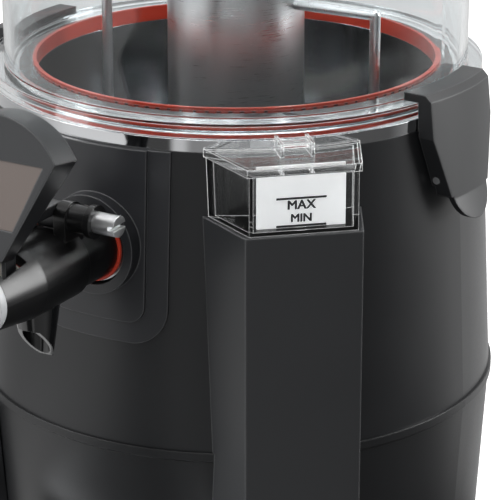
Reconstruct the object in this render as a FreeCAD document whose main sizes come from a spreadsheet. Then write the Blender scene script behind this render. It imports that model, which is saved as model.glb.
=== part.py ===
import FreeCAD, Part
import math
import os
import re
import Sketcher

os.makedirs("parts", exist_ok=True)

# Driving sizes, in millimetres and degrees. +Z is up, the tap faces -Y, the drum's axis is the Z axis.
SIZES = {
    # feet, base plate and lower shell
    "foot_high": 12.0, "foot_radius": 13.0, "foot_screw_radius": 2.5,
    "plate_thick": 2.0, "base_high": 78.0, "drum_radius": 125.0,
    "bead_proud": 1.2, "bead_high": 4.0, "shell_wall": 3.0,
    # drum casing and its steel deck
    "casing_high": 138.8,
    "deck_high": 5.7, "deck_wall": 1.5,
    # water bath and product pot
    "bath_deep": 92.0, "steel_wall": 1.2, "bath_tube_radius": 14.0,
    "bath_tube_high": 80.0, "bath_flange": 6.0,
    "pot_deep": 72.0, "riser_radius": 22.0,
    "riser_high": 130.0,
    # outlet
    "tap_drop": 50.7, "outlet_bore": 15.6, "outlet_wall": 2.0,
    "gasket_long": 9.5, "gasket_width": 4.0,
    # front trim and outlet plate
    "trim_half": 35.0, "trim_band": 10.0, "trim_proud": 1.0, "plate_proud": 2.2, "trim_bottom": 141.0,
    "trim_corner": 17.0, "plate_corner": 8.0, "collar_radius": 23.0, "collar_hole": 18.5,
    # tap
    "neck_radius": 15.5, "barrel_radius": 17.0,
    "nose_radius": 14.2, "tap_bore": 12.0,
    "nose_cap_thick": 4.0, "nose_plug_long": 1.9,
    "spout_radius": 12.4, "spout_tip_radius": 6.4, "spout_wall": 1.8,
    "spout_low": 146.0, "spout_cut": 15.0,
    "oring_wire": 1.0,
    "slot_half": 10.2,
    "lug_thick": 6.0, "lug_long": 14.0, "hub_half": 4.7, "pin_rise": 22.5, "pin_radius": 4.75,
    "pin_half": 34.2, "pin_slot": 2.0, "pin_slot_deep": 3.0,
    # piston
    "stem_radius": 4.0, "head_radius": 13.0, "head_thick": 4.0, "head_seal_thick": 2.0,
    "land_radius": 11.9,
    "fork_collar_radius": 8.0, "land_groove": 1.2,
    # lever
    "shield_tip_half": 6.5, "shield_half": 31.0, "shield_shoulder": 46.0, "shield_tall": 62.0,
    "shield_arch": 36.0, "shield_thick": 16.0, "shield_tip_thick": 8.0, "shield_tilt": 8.0,
    "shield_foot": 201.5, "badge_low": 14.0, "badge_high": 43.0,
    "badge_low_half": 11.0, "badge_high_half": 24.5, "badge_deep": 1.2, "badge_thick": 0.8,
    "sleeve_radius": 6.2, "coil_side": 13.5, "sleeve_outer": 23.0, "flange_radius": 7.4,
    "flange_thick": 3.0, "web_rise": 1.8, "fork_wide": 2.2, "fork_gap": 4.3, "fork_low": 187.6,
    "coil_radius": 6.3, "coil_wire": 1.1, "coil_turns": 3.0,
    # clear bowl, seal, lid
    "bowl_lift": 0.3, "flange_high": 7.0,
    "bowl_wall": 3.5, "bowl_high": 172.0, "ledge_thick": 4.0,
    "seal_wall": 1.8, "seal_lip": 1.2, "rim_out": 4.0, "rim_high": 5.0,
    "lid_rise": 24.0, "lid_wall": 2.5, "lid_skirt": 9.0, "lid_skirt_gap": 1.0,
    "knob_radius": 21.0,
    "knob_high": 30.0, "knob_neck": 11.0, "knob_foot": 8.0,
    # agitator and drive
    "shaft_radius": 5.0, "bush_wall": 4.0, "bush_long": 12.0, "column_radius": 32.5,
    "column_wall": 2.0, "column_low": 4.0, "column_high": 150.0, "cap_thick": 6.0,
    "blade_thick": 2.0, "blade_tall": 12.0, "blade_lift": 2.0,
    "loop_wire": 2.5, "loop_tall": 92.0, "nut_radius": 11.0, "nut_high": 12.0,
    "motor_half": 34.0, "motor_high": 40.0, "motor_low": 48.0, "motor_radius": 27.0,
    "motor_can_high": 30.0, "coupling_radius": 11.0, "coupling_high": 24.0,
    "bridge_thick": 3.0,
    # heating and controls
    "heater_wire": 4.0, "heater_gap": 0.3, "stat_radius": 12.0,
    "stat_high": 14.0,
    "panel_angle": -52.0, "panel_half": 36.0, "panel_low": 24.0, "panel_high": 58.0,
    "panel_wall": 2.5, "dial_radius": 15.0, "dial_deep": 14.0,
    "dial_shaft_radius": 3.0, "dial_side": 17.0, "rocker_half": 6.5,
    "rocker_tall": 19.0, "rocker_proud": 2.5, "rocker_side": 8.0, "rocker_step": 17.0,
    "rocker_pin": 0.8, "rocker_pin_long": 1.2,
    "lamp_radius": 4.0, "lamp_proud": 2.0, "gap_rocker": 0.3,
    "gland_radius": 9.0, "gland_proud": 12.0, "gland_height": 40.0, "gland_angle": 165.0, "gland_bore": 4.0,
    "drain_radius": 8.0, "drain_height": 40.0, "drain_angle": 205.0, "drain_proud": 8.0,
    # latches
    "latch_angle": 87.0, "latch_half": 26.5, "latch_shoulder": 228.0, "latch_crease": 198.5,
    "latch_tip_round": 15.5, "latch_tip_rise": 13.0, "latch_hook_thick": 3.6, "latch_slope": 3.0,
    "latch_lean": 5.0, "latch_lip": 4.0, "latch_wall": 3.0, "latch_top": 248.0, "latch_swing": 3.7,
    "latch_tip": 186.5, "latch_tongue_half": 16.5, "latch_pin_half": 19.6,
    "latch_pivot_high": 207.0, "latch_pin_radius": 1.7, "bracket_half": 8.0,
    "bracket_low": 201.0, "bracket_high": 214.0, "bracket_boss": 2.5,
    # water level cup and duct
    "level_angle": 42.5, "cup_front_half": 24.0, "cup_left_half": 41.0, "cup_back_half": 34.0,
    "cup_low": 202.5, "cup_high": 229.3, "cup_wall": 2.0, "cup_floor": 1.4,
    "cup_lid_thick": 3.6, "cup_lid_over": 1.0, "cup_tab_half": 6.0, "cup_tab_high": 6.0,
    "cup_tab_long": 10.0,
    "level_plate_half": 19.5, "level_plate_thick": 1.2,
    "mark_thick": 0.4, "mark_high": 0.9,
    "mark_half": 11.0, "max_level": 217.0, "min_level": 204.6,
    "duct_low": 24.0, "duct_front_half": 26.0, "duct_left_half": 43.0, "duct_back_half": 36.0,
    "duct_wall": 2.5,
    "tube_radius": 5.0, "tube_wall": 1.2, "tube_low": 152.0,
    # drip tray
    "tray_half": 66.0, "tray_high": 28.0,
    "tray_wall": 2.5, "grid_thick": 3.0, "grid_slot": 5.0, "grid_bar": 5.0, "grid_edge": 8.0,
    # clearances
    "fit": 0.05, "gap": 0.3,
}

# Sizes that follow another one: the size they are counted from, and how far from it.
FOLLOWS = {
    # radii of the drum, its vessels and the bowl
    "base_radius": ("drum_radius", -4.0), "casing_top_radius": ("drum_radius", -7.2),
    "foot_circle": ("drum_radius", -61.0), "bridge_half": ("drum_radius", -47.0),
    "deck_radius": ("casing_top_radius", -0.2), "bath_radius": ("casing_top_radius", -10.8),
    "pot_radius": ("bath_radius", -11.0), "pot_rim_radius": ("bath_radius", -3.0),
    "heater_radius": ("bath_radius", -41.0), "blade_reach": ("pot_radius", -8.0),
    "stat_offset": ("heater_radius", -26.0),
    "loop_reach": ("pot_radius", -22.0), "gasket_start": ("bath_radius", -6.0),
    "outlet_reach": ("casing_top_radius", 6.2), "flange_out_radius": ("casing_top_radius", -0.8),
    "bowl_radius": ("flange_out_radius", -7.0), "ledge_radius": ("flange_out_radius", -20.5),
    "lid_shoulder": ("bowl_radius", -12.0), "lid_flat": ("bowl_radius", -50.0),
    # distances along the tap, from the drum's axis
    "collar_reach": ("casing_top_radius", 9.2), "neck_start": ("collar_reach", -21.0),
    "neck_end": ("collar_reach", 23.0), "oring_place": ("collar_reach", -0.9),
    "inner_oring_place": ("neck_start", 10.0), "pin_place": ("neck_end", 3.0),
    "spout_place": ("neck_end", 17.0), "barrel_taper_start": ("neck_end", 32.0),
    "barrel_end": ("barrel_taper_start", 25.0), "slot_start": ("barrel_taper_start", 5.0),
    "slot_end": ("slot_start", 16.5), "land_start": ("barrel_taper_start", 2.0),
    "land_end": ("land_start", 4.5), "fork_collar_start": ("slot_end", -1.0),
    "fork_collar_end": ("fork_collar_start", 2.3), "fork_start": ("slot_start", 2.6),
    "fork_end": ("fork_start", 7.0), "shield_front": ("slot_end", -4.0),
    # distances of the panel, latches, level cup and tray
    "panel_face": ("drum_radius", 3.0), "latch_out": ("casing_top_radius", 11.7),
    "latch_pivot_out": ("casing_top_radius", 3.6), "latch_hook_in": ("flange_out_radius", -6.0),
    "cup_front": ("drum_radius", 20.0), "cup_back": ("drum_radius", -25.0),
    "duct_front": ("cup_front", 1.5), "cup_tab_back": ("casing_top_radius", 1.2),
    "level_plate_place": ("cup_front", -7.5), "tube_place": ("cup_front", -12.0),
    "tray_back": ("drum_radius", 4.0), "tray_front": ("tray_back", 153.0),
    "shelf_front": ("tray_front", -6.0), "shelf_half": ("tray_half", -6.0),
}

doc = FreeCAD.newDocument("HotChocolateDispenser")
sheet = doc.addObject("Spreadsheet::Sheet", "Sizes")
STEPS = {alias: step for alias, (start, step) in FOLLOWS.items()}
for row, (alias, number) in enumerate({**SIZES, **STEPS}.items(), start=1):
    sheet.set(f"A{row}", alias)
    sheet.set(f"B{row}", str(number))
    sheet.setAlias(f"B{row}", alias)
doc.recompute()

# Heights and places that several pieces share, written from the driving sizes.
PLATE_TOP = "(foot_high + plate_thick)"
SEAM = f"({PLATE_TOP} + base_high)"
CASING_TOP = f"({SEAM} + casing_high)"
DECK_TOP = f"({CASING_TOP} + deck_high)"
POT_RIM = f"({DECK_TOP} + steel_wall)"
TAP = f"({DECK_TOP} - tap_drop)"
PIN = f"({TAP} + pin_rise)"
BOWL = f"({DECK_TOP} + bowl_lift)"
BOWL_TOP = f"({BOWL} + bowl_high)"
LID_TOP = f"({BOWL_TOP} + gap + lid_wall + lid_rise)"
BATH_FLOOR = f"({DECK_TOP} - bath_deep)"
POT_FLOOR = f"({POT_RIM} - pot_deep)"
RISER_TOP = f"({POT_FLOOR} + riser_high)"


def bound(text):
    """Write an expression with every alias read from the sheet, a following size from its start."""
    def name(found):
        word = found.group()
        if word in FOLLOWS:
            return f"({bound(FOLLOWS[word][0])} + Sizes.{word})"
        return f"Sizes.{word}" if word in SIZES else word
    return re.sub(r"[a-z_]+", name, text)


def size(alias):
    """Read one size as a number."""
    own = float(getattr(sheet, alias))
    return own + size(FOLLOWS[alias][0]) if alias in FOLLOWS else own


def bind(item, **cells):
    for prop, text in cells.items():
        item.setExpression(prop, bound(text))
    return item


def place(item, at=("0", "0", "0"), turn=(0, 0, 1, 0)):
    """Turn an object about an axis and bind its position."""
    x, y, z, degrees = turn
    spin = FreeCAD.Rotation(FreeCAD.Vector(x, y, z), degrees)
    item.Placement = FreeCAD.Placement(FreeCAD.Vector(0, 0, 0), spin)
    for letter, text in zip("xyz", at):
        item.setExpression(f"Placement.Base.{letter}", bound(text))
    return item


FORWARD = (1, 0, 0, 90)
SIDEWAYS = (0, 1, 0, 90)


def box(name, low, high):
    """A box between two corners, each a triple of expressions."""
    item = doc.addObject("Part::Box", name)
    spans = [f"({b}) - ({a})" for a, b in zip(low, high)]
    bind(item, Length=spans[0], Width=spans[1], Height=spans[2])
    return place(item, low)


def rod(name, radius, long, at, turn=(0, 0, 1, 0)):
    item = doc.addObject("Part::Cylinder", name)
    bind(item, Radius=radius, Height=long)
    return place(item, at, turn)


def cone(name, low_radius, high_radius, high, at, turn=(0, 0, 1, 0)):
    item = doc.addObject("Part::Cone", name)
    bind(item, Radius1=low_radius, Radius2=high_radius, Height=high)
    return place(item, at, turn)


def ring(name, radius, wire, at, turn=(0, 0, 1, 0)):
    item = doc.addObject("Part::Torus", name)
    bind(item, Radius1=radius, Radius2=wire)
    return place(item, at, turn)


def join(name, *pieces):
    item = doc.addObject("Part::MultiFuse", name)
    item.Shapes = list(pieces)
    return item


def cut(name, base, *tools):
    item = doc.addObject("Part::Cut", name)
    item.Base = base
    item.Tool = tools[0] if len(tools) == 1 else join(f"{name}_tools", *tools)
    return item


def common(name, base, tool):
    item = doc.addObject("Part::MultiCommon", name)
    item.Shapes = [base, tool]
    return item


def group(name, pieces):
    item = doc.addObject("Part::Compound", name)
    item.Links = list(pieces)
    return item


NODES = []


def node(label, item):
    """Name a finished piece."""
    item.Label = label
    NODES.append(item)
    return item


def around(item, angle):
    """A piece built at the front, carried round the drum's axis by an angle."""
    turned_piece = group(f"{item.Name}_round", [item])
    turned_piece.Placement = FreeCAD.Placement(FreeCAD.Vector(0, 0, 0), FreeCAD.Rotation(FreeCAD.Vector(0,
                                                                                                        0,
                                                                                                        1),
                                                                                                        1))
    turned_piece.setExpression("Placement.Rotation.Angle", bound(angle))
    return turned_piece


def outline(body, name, role, points):
    """A closed sketch of straight lines, every corner held by two bound distances."""
    sketch = body.newObject("Sketcher::SketchObject", name)
    plane = [f for f in body.Origin.OriginFeatures if f.Role == role][0]
    sketch.AttachmentSupport = [(plane, "")]
    sketch.MapMode = "FlatFace"
    count = len(points)
    spots = []
    for k in range(count):
        turn = 2 * math.pi * k / count
        spots.append(FreeCAD.Vector(50 + 10 * math.cos(turn), 50 + 10 * math.sin(turn), 0))
    for k in range(count):
        sketch.addGeometry(Part.LineSegment(spots[k], spots[(k + 1) % count]))
    for k in range(count):
        sketch.addConstraint(Sketcher.Constraint("Coincident", k, 2, (k + 1) % count, 1))
    for k, (across, along) in enumerate(points):
        for kind, text in (("DistanceX", across), ("DistanceY", along)):
            start = spots[k].x if kind == "DistanceX" else spots[k].y
            index = sketch.addConstraint(Sketcher.Constraint(kind, -1, 1, k, 1, start))
            sketch.setExpression(f"Constraints[{index}]", bound(text))
    return sketch


def turned(name, points):
    """A piece of revolution about Z from a profile of (radius, height) corners."""
    body = doc.addObject("PartDesign::Body", name)
    sketch = outline(body, f"{name}_profile", "XZ_Plane", points)
    feature = body.newObject("PartDesign::Revolution", f"{name}_turn")
    feature.Profile = sketch
    feature.ReferenceAxis = (sketch, ["V_Axis"])
    feature.Angle = 360
    body.Tip = feature
    return body


def prism(name, points, high, low):
    """A padded plan outline, from the height low, high tall."""
    body = doc.addObject("PartDesign::Body", name)
    sketch = outline(body, f"{name}_plan", "XY_Plane", points)
    feature = body.newObject("PartDesign::Pad", f"{name}_pad")
    feature.Profile = sketch
    feature.setExpression("Length", bound(high))
    body.Tip = feature
    return place(body, ("0", "0", low))


def drum(name, proud):
    """The casing's outer cone, grown by the expression proud, from seam to top."""
    grown = f"drum_radius + {proud}"
    return cone(name, grown, f"casing_top_radius + {proud}", "casing_high", ("0", "0", SEAM))


# Feet, base plate and lower shell
FOOT_SPOTS = [
    ("foot_circle", "foot_circle"), ("-foot_circle", "foot_circle"),
    ("foot_circle", "-foot_circle"), ("-foot_circle", "-foot_circle"),
    ("shelf_half - foot_radius - gap", "-shelf_front + foot_radius + gap"),
    ("-shelf_half + foot_radius + gap", "-shelf_front + foot_radius + gap"),
]
feet = []
foot_screws = []
plate_holes = []
for k, (x, y) in enumerate(FOOT_SPOTS):
    pad = cone(f"foot_{k}", "foot_radius - 2", "foot_radius", "foot_high", (x, y, "0"))
    hole = rod(f"foot_bore_{k}", "foot_screw_radius", "foot_high", (x, y, "foot_high / 2"))
    feet.append(cut(f"foot_cut_{k}", pad, hole))
    foot_screws.append(rod(f"foot_screw_{k}", "foot_screw_radius", "foot_high / 2 + plate_thick",
                           (x, y, "foot_high / 2")))
    plate_holes.append(rod(f"plate_hole_{k}", "foot_screw_radius", "plate_thick + 4",
                           (x, y, "foot_high - 2")))
node("rubber_feet", group("feet_group", feet))
node("foot_screws", group("screw_group", foot_screws))

plate = rod("base_disc", "base_radius", "plate_thick", ("0", "0", "foot_high"))
shelf = box("base_shelf", ("-shelf_half", "-shelf_front", "foot_high"),
            ("shelf_half", "-base_radius / 2", PLATE_TOP))
node("base_plate", cut("base_plate_cut", join("base_plate_blank", plate, shelf), *plate_holes))

base_body = turned("base_shell_body", [
    ("base_radius - shell_wall", PLATE_TOP),
    ("base_radius", PLATE_TOP),
    ("drum_radius", f"{SEAM} - bead_high - 1"),
    ("drum_radius + bead_proud", f"{SEAM} - bead_high"),
    ("drum_radius + bead_proud", SEAM),
    ("drum_radius - shell_wall", SEAM),
])
panel_hole = box("panel_hole", ("-panel_half + 4", "-drum_radius - 8", "panel_low + 4"),
                 ("panel_half - 4", "-base_radius + 25", "panel_low + panel_high - 4"))
gland_hole = rod("gland_hole", "gland_radius", "40", ("0", "-base_radius + 20", "gland_height"), FORWARD)
drain_hole = rod("drain_hole", "drain_radius", "40", ("0", "-base_radius + 20", "drain_height"), FORWARD)
node("base_shell", cut("base_shell_cut", base_body, around(panel_hole, "panel_angle"),
                       around(gland_hole, "gland_angle"), around(drain_hole, "drain_angle")))

# Drum casing with its openings for the outlet, the level tube and the latch brackets
casing_body = turned("casing_body", [
    ("drum_radius - shell_wall", SEAM),
    ("drum_radius", SEAM),
    ("casing_top_radius", CASING_TOP),
    ("casing_top_radius - shell_wall", CASING_TOP),
])
outlet_hole = rod("outlet_hole", "collar_hole", "collar_reach", ("0", "0", TAP), FORWARD)
tube_hole = rod("tube_hole", "tube_radius + gap", "tube_place", ("0", "0", "tube_low"), FORWARD)
node("outer_casing", cut("casing_cut", casing_body, outlet_hole, around(tube_hole, "level_angle")))

deck_body = turned("steel_deck_body", [
    ("pot_radius + gap", f"{DECK_TOP} - deck_wall"),
    ("deck_radius - deck_wall", f"{DECK_TOP} - deck_wall"),
    ("deck_radius - deck_wall", CASING_TOP),
    ("deck_radius", CASING_TOP),
    ("deck_radius", DECK_TOP),
    ("pot_radius + gap", DECK_TOP),
])
node("steel_deck", deck_body)

# Front trim and outlet plate, both laid on the drum's cone
TRIM_TOP = f"({CASING_TOP} - gap)"


def front_panel(name, half, low, corner, proud):
    """A patch of the drum's front with two rounded lower corners."""
    slab = box(f"{name}_slab", (f"-({half})", "-drum_radius - 20", low), (half, "-casing_top_radius / 2",
                                                                          TRIM_TOP))
    block = doc.addObject("Part::Fillet", f"{name}_block")
    block.Base = slab
    doc.recompute()
    block.Edges = [(k + 1, size(corner), size(corner)) for k, edge in enumerate(slab.Shape.Edges)
                   if abs(edge.CenterOfMass.z - slab.Shape.BoundBox.ZMin) < 0.01
                   and edge.BoundBox.XLength < 0.01]
    skin = common(f"{name}_skin", block, drum(f"{name}_outer", proud))
    return cut(f"{name}_patch", skin, drum(f"{name}_inner", "0"))


plate_skin = front_panel("outlet_plate", "trim_half - trim_band", "trim_bottom + trim_band", "plate_corner",
                         "plate_proud")
collar = rod("collar_ring", "collar_radius", "collar_reach", ("0", "0", TAP), FORWARD)
collar_outside = cut("collar_outside", collar, drum("collar_seat", "0"))
plate_bore = rod("plate_bore", "collar_hole", "collar_reach + 2", ("0", "0", TAP), FORWARD)
node("outlet_plate", cut("outlet_plate_cut", join("outlet_plate_blank", plate_skin, collar_outside),
                         plate_bore))
trim_skin = front_panel("trim", "trim_half", "trim_bottom", "trim_corner", "trim_proud")
trim_window = front_panel("trim_window", "trim_half - trim_band", "trim_bottom + trim_band", "plate_corner",
                          "trim_proud + 5")
node("front_trim", cut("front_trim_cut", trim_skin, trim_window))

# Water bath, product pot and outlet
BATH_RIM = f"({DECK_TOP} - deck_wall)"
BATH_TUBE_TOP = f"({BATH_FLOOR} + bath_tube_high)"
bath_body = turned("water_bath_body", [
    ("bath_radius + bath_flange", f"{BATH_RIM} - steel_wall"),
    ("bath_radius + bath_flange", BATH_RIM),
    ("bath_radius - steel_wall", BATH_RIM),
    ("bath_radius - steel_wall", BATH_FLOOR),
    ("bath_tube_radius", BATH_FLOOR),
    ("bath_tube_radius", BATH_TUBE_TOP),
    ("bath_tube_radius - steel_wall", BATH_TUBE_TOP),
    ("bath_tube_radius - steel_wall", f"{BATH_FLOOR} - steel_wall"),
    ("bath_radius", f"{BATH_FLOOR} - steel_wall"),
    ("bath_radius", f"{BATH_RIM} - steel_wall"),
])
GASKET = "(outlet_bore + outlet_wall + gasket_width)"
gasket_hole = rod("gasket_hole", GASKET, "collar_reach", ("0", "0", TAP), FORWARD)
level_port = rod("level_port", "tube_radius", "tube_place", ("0", "0", "tube_low"), FORWARD)
node("water_bath", cut("water_bath_cut", bath_body, gasket_hole, around(level_port, "level_angle")))

pot_body = turned("product_pot_body", [
    ("pot_rim_radius", DECK_TOP),
    ("pot_rim_radius", POT_RIM),
    ("pot_radius - steel_wall", POT_RIM),
    ("pot_radius - steel_wall", POT_FLOOR),
    ("riser_radius", POT_FLOOR),
    ("riser_radius", RISER_TOP),
    ("shaft_radius + bush_wall", RISER_TOP),
    ("shaft_radius + bush_wall", f"{RISER_TOP} - steel_wall"),
    ("riser_radius - steel_wall", f"{RISER_TOP} - steel_wall"),
    ("riser_radius - steel_wall", f"{POT_FLOOR} - steel_wall"),
    ("pot_radius", f"{POT_FLOOR} - steel_wall"),
    ("pot_radius", DECK_TOP),
])
pot_port = rod("pot_port", "outlet_bore + outlet_wall", "collar_reach", ("0", "0", TAP), FORWARD)
node("product_pot", cut("product_pot_cut", pot_body, pot_port))

pot_inside = rod("pot_inside", "pot_radius - steel_wall", "pot_deep", ("0", "0", POT_FLOOR))
outlet_outer = rod("outlet_outer", "outlet_bore + outlet_wall", "outlet_reach", ("0", "0", TAP), FORWARD)
outlet_inner = rod("outlet_inner", "outlet_bore", "outlet_reach + 2", ("0", "0", TAP), FORWARD)
node("outlet_tube", cut("outlet_tube_cut", outlet_outer, outlet_inner, pot_inside))

gasket_outer = rod("gasket_outer", GASKET, "gasket_long", ("0", "-gasket_start", TAP), FORWARD)
gasket_inner = rod("gasket_inner", "outlet_bore + outlet_wall", "gasket_long + 2",
                   ("0", "-gasket_start + 1", TAP),
                   FORWARD)
node("outlet_gasket", cut("outlet_gasket_cut", gasket_outer, gasket_inner))

# Agitator and drive
GEAR_TOP = "(motor_low + motor_high)"
gearbox = box("gearbox", ("-motor_half", "-motor_half", "motor_low"), ("motor_half", "motor_half", GEAR_TOP))
motor_can = rod("motor_can", "motor_radius", "motor_can_high", ("0", "0", "motor_low - motor_can_high"))
node("gear_motor", join("gear_motor_join", gearbox, motor_can))

deck_plate = box("bridge_plate", ("-bridge_half", "-motor_half", GEAR_TOP),
                 ("bridge_half", "motor_half", f"{GEAR_TOP} + bridge_thick"))
legs = [box(f"bridge_leg_{k}", (low, "-motor_half", PLATE_TOP), (high, "motor_half", GEAR_TOP))
        for k, (low, high) in enumerate((("-bridge_half", "-bridge_half + bridge_thick"),
                                         ("bridge_half - bridge_thick", "bridge_half")))]
bridge_hole = rod("bridge_hole", "coupling_radius + gap", "bridge_thick + 2", ("0", "0", f"{GEAR_TOP} - 1"))
node("motor_bridge", cut("motor_bridge_cut", join("motor_bridge_blank", deck_plate, *legs), bridge_hole))

SHAFT_LOW = f"({GEAR_TOP} + gap)"
SHAFT_TOP = f"({POT_FLOOR} + column_low + column_high)"
node("drive_shaft", rod("shaft_rod", "shaft_radius", f"{SHAFT_TOP} - {SHAFT_LOW}", ("0", "0", SHAFT_LOW)))
sleeve = rod("coupling_outer", "coupling_radius", "coupling_high", ("0", "0", SHAFT_LOW))
sleeve_bore = rod("coupling_bore", "shaft_radius", "coupling_high + 2", ("0", "0", f"{SHAFT_LOW} - 1"))
node("shaft_coupling", cut("coupling_cut", sleeve, sleeve_bore))

low_bush = rod("low_bush_outer", "bath_tube_radius - steel_wall", "bush_long",
               ("0", "0", f"{BATH_TUBE_TOP} - bush_long"))
low_bore = rod("low_bush_bore", "shaft_radius + fit", "bush_long + 2",
               ("0", "0", f"{BATH_TUBE_TOP} - bush_long - 1"))
node("lower_bush", cut("lower_bush_cut", low_bush, low_bore))
top_bush = rod("top_bush_outer", "shaft_radius + bush_wall", "bush_long",
               ("0", "0", f"{RISER_TOP} - bush_long / 2"))
top_bore = rod("top_bush_bore", "shaft_radius + fit", "bush_long + 2",
               ("0", "0", f"{RISER_TOP} - bush_long / 2 - 1"))
node("upper_bush", cut("upper_bush_cut", top_bush, top_bore))

COLUMN_LOW = f"({POT_FLOOR} + column_low)"
column_body = turned("agitator_column_body", [
    ("column_radius - column_wall", COLUMN_LOW),
    ("column_radius", COLUMN_LOW),
    ("column_radius", SHAFT_TOP),
    ("shaft_radius", SHAFT_TOP),
    ("shaft_radius", f"{SHAFT_TOP} - cap_thick"),
    ("column_radius - column_wall", f"{SHAFT_TOP} - cap_thick"),
])
node("agitator_column", column_body)
inside = rod("column_inside", "column_radius", "column_high + 20", ("0", "0", f"{COLUMN_LOW} - 10"))
BLADE_LOW = f"({POT_FLOOR} + blade_lift)"
blade = box("blade_bar", ("-blade_reach", "-blade_thick / 2", BLADE_LOW),
            ("blade_reach", "blade_thick / 2", f"{BLADE_LOW} + blade_tall"))
node("scraper_blades", cut("scraper_cut", blade, inside))
LOOP_LOW = f"({BLADE_LOW} + blade_tall)"
loop_pieces = []
for side, sign in (("right", ""), ("left", "-")):
    reach = f"{sign}loop_reach"
    loop_pieces.append(rod(f"loop_{side}_upright", "loop_wire", "loop_tall", (reach, "0", LOOP_LOW)))
    turn = SIDEWAYS if side == "right" else (0, 1, 0, -90)
    loop_pieces.append(rod(f"loop_{side}_arm", "loop_wire", "loop_reach",
                           ("0", "0", f"{LOOP_LOW} + loop_tall"), turn))
    corner = doc.addObject("Part::Sphere", f"loop_{side}_corner")
    bind(corner, Radius="loop_wire")
    loop_pieces.append(place(corner, (reach, "0", f"{LOOP_LOW} + loop_tall")))
node("mixing_loops", cut("mixing_loops_cut", join("mixing_loops_join", *loop_pieces), inside))
node("agitator_nut", turned("agitator_nut_body", [
    ("0", SHAFT_TOP),
    ("nut_radius", SHAFT_TOP),
    ("nut_radius", f"{SHAFT_TOP} + nut_high - 3"),
    ("nut_radius - 3", f"{SHAFT_TOP} + nut_high"),
    ("0", f"{SHAFT_TOP} + nut_high"),
]))

# Heater and thermostats under the bath's floor
BATH_UNDER = f"({BATH_FLOOR} - steel_wall - heater_gap)"
node("heater_ring", ring("heater_tube", "heater_radius", "heater_wire",
                         ("0", "0", f"{BATH_UNDER} - heater_wire")))
for side, sign in (("working", ""), ("safety", "-")):
    node(f"{side}_thermostat", rod(f"{side}_stat", "stat_radius", "stat_high",
                                   (f"{sign}stat_offset", "0", f"{BATH_UNDER} + heater_gap - stat_high")))

# Clear bowl, silicone seal and lid
LEDGE_TOP = f"({BOWL} + flange_high)"
LEDGE_LOW = f"({LEDGE_TOP} - ledge_thick)"
node("clear_bowl", turned("clear_bowl_body", [
    ("ledge_radius", LEDGE_LOW),
    ("pot_rim_radius + 1", LEDGE_LOW),
    ("pot_rim_radius + 1", BOWL),
    ("flange_out_radius", BOWL),
    ("flange_out_radius", LEDGE_TOP),
    ("bowl_radius", LEDGE_TOP),
    ("bowl_radius", f"{BOWL_TOP} - rim_high"),
    ("bowl_radius + rim_out", f"{BOWL_TOP} - rim_high"),
    ("bowl_radius + rim_out", BOWL_TOP),
    ("bowl_radius - bowl_wall", BOWL_TOP),
    ("bowl_radius - bowl_wall", LEDGE_TOP),
    ("ledge_radius", LEDGE_TOP),
]))
node("bowl_seal", turned("bowl_seal_body", [
    ("ledge_radius - seal_wall", POT_RIM),
    ("pot_rim_radius - 1", POT_RIM),
    ("pot_rim_radius - 1", LEDGE_LOW),
    ("ledge_radius", LEDGE_LOW),
    ("ledge_radius", f"{LEDGE_TOP} + seal_lip"),
    ("ledge_radius - seal_wall", f"{LEDGE_TOP} + seal_lip"),
]))
SKIRT = "(bowl_radius - bowl_wall - lid_skirt_gap)"
node("lid", turned("lid_body", [
    ("0", LID_TOP),
    ("lid_flat", LID_TOP),
    ("lid_shoulder", f"{BOWL_TOP} + lid_wall"),
    ("bowl_radius + rim_out", f"{BOWL_TOP} + lid_wall"),
    ("bowl_radius + rim_out", BOWL_TOP),
    (SKIRT, BOWL_TOP),
    (SKIRT, f"{BOWL_TOP} - lid_skirt"),
    (f"{SKIRT} - lid_wall", f"{BOWL_TOP} - lid_skirt"),
    (f"{SKIRT} - lid_wall", BOWL_TOP),
    ("lid_shoulder - 1", BOWL_TOP),
    ("lid_flat - 1", f"{LID_TOP} - lid_wall"),
    ("0", f"{LID_TOP} - lid_wall"),
]))
node("lid_knob", turned("lid_knob_body", [
    ("0", LID_TOP),
    ("knob_neck + 3", LID_TOP),
    ("knob_neck", f"{LID_TOP} + knob_foot / 2"),
    ("knob_neck", f"{LID_TOP} + knob_foot"),
    ("knob_radius", f"{LID_TOP} + knob_foot + 5"),
    ("knob_radius", f"{LID_TOP} + knob_high - 4"),
    ("knob_radius - 4", f"{LID_TOP} + knob_high"),
    ("0", f"{LID_TOP} + knob_high"),
]))

# Tap body with its spout, nose cap and rings
ORING_SEAT = "(neck_radius + oring_wire / 2)"


def outer_ring(name):
    return ring(name, ORING_SEAT, "oring_wire", ("0", "-oring_place", TAP), FORWARD)


def inner_ring(name):
    return ring(name, "outlet_bore - oring_wire", "oring_wire", ("0", "-inner_oring_place", TAP), FORWARD)


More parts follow.
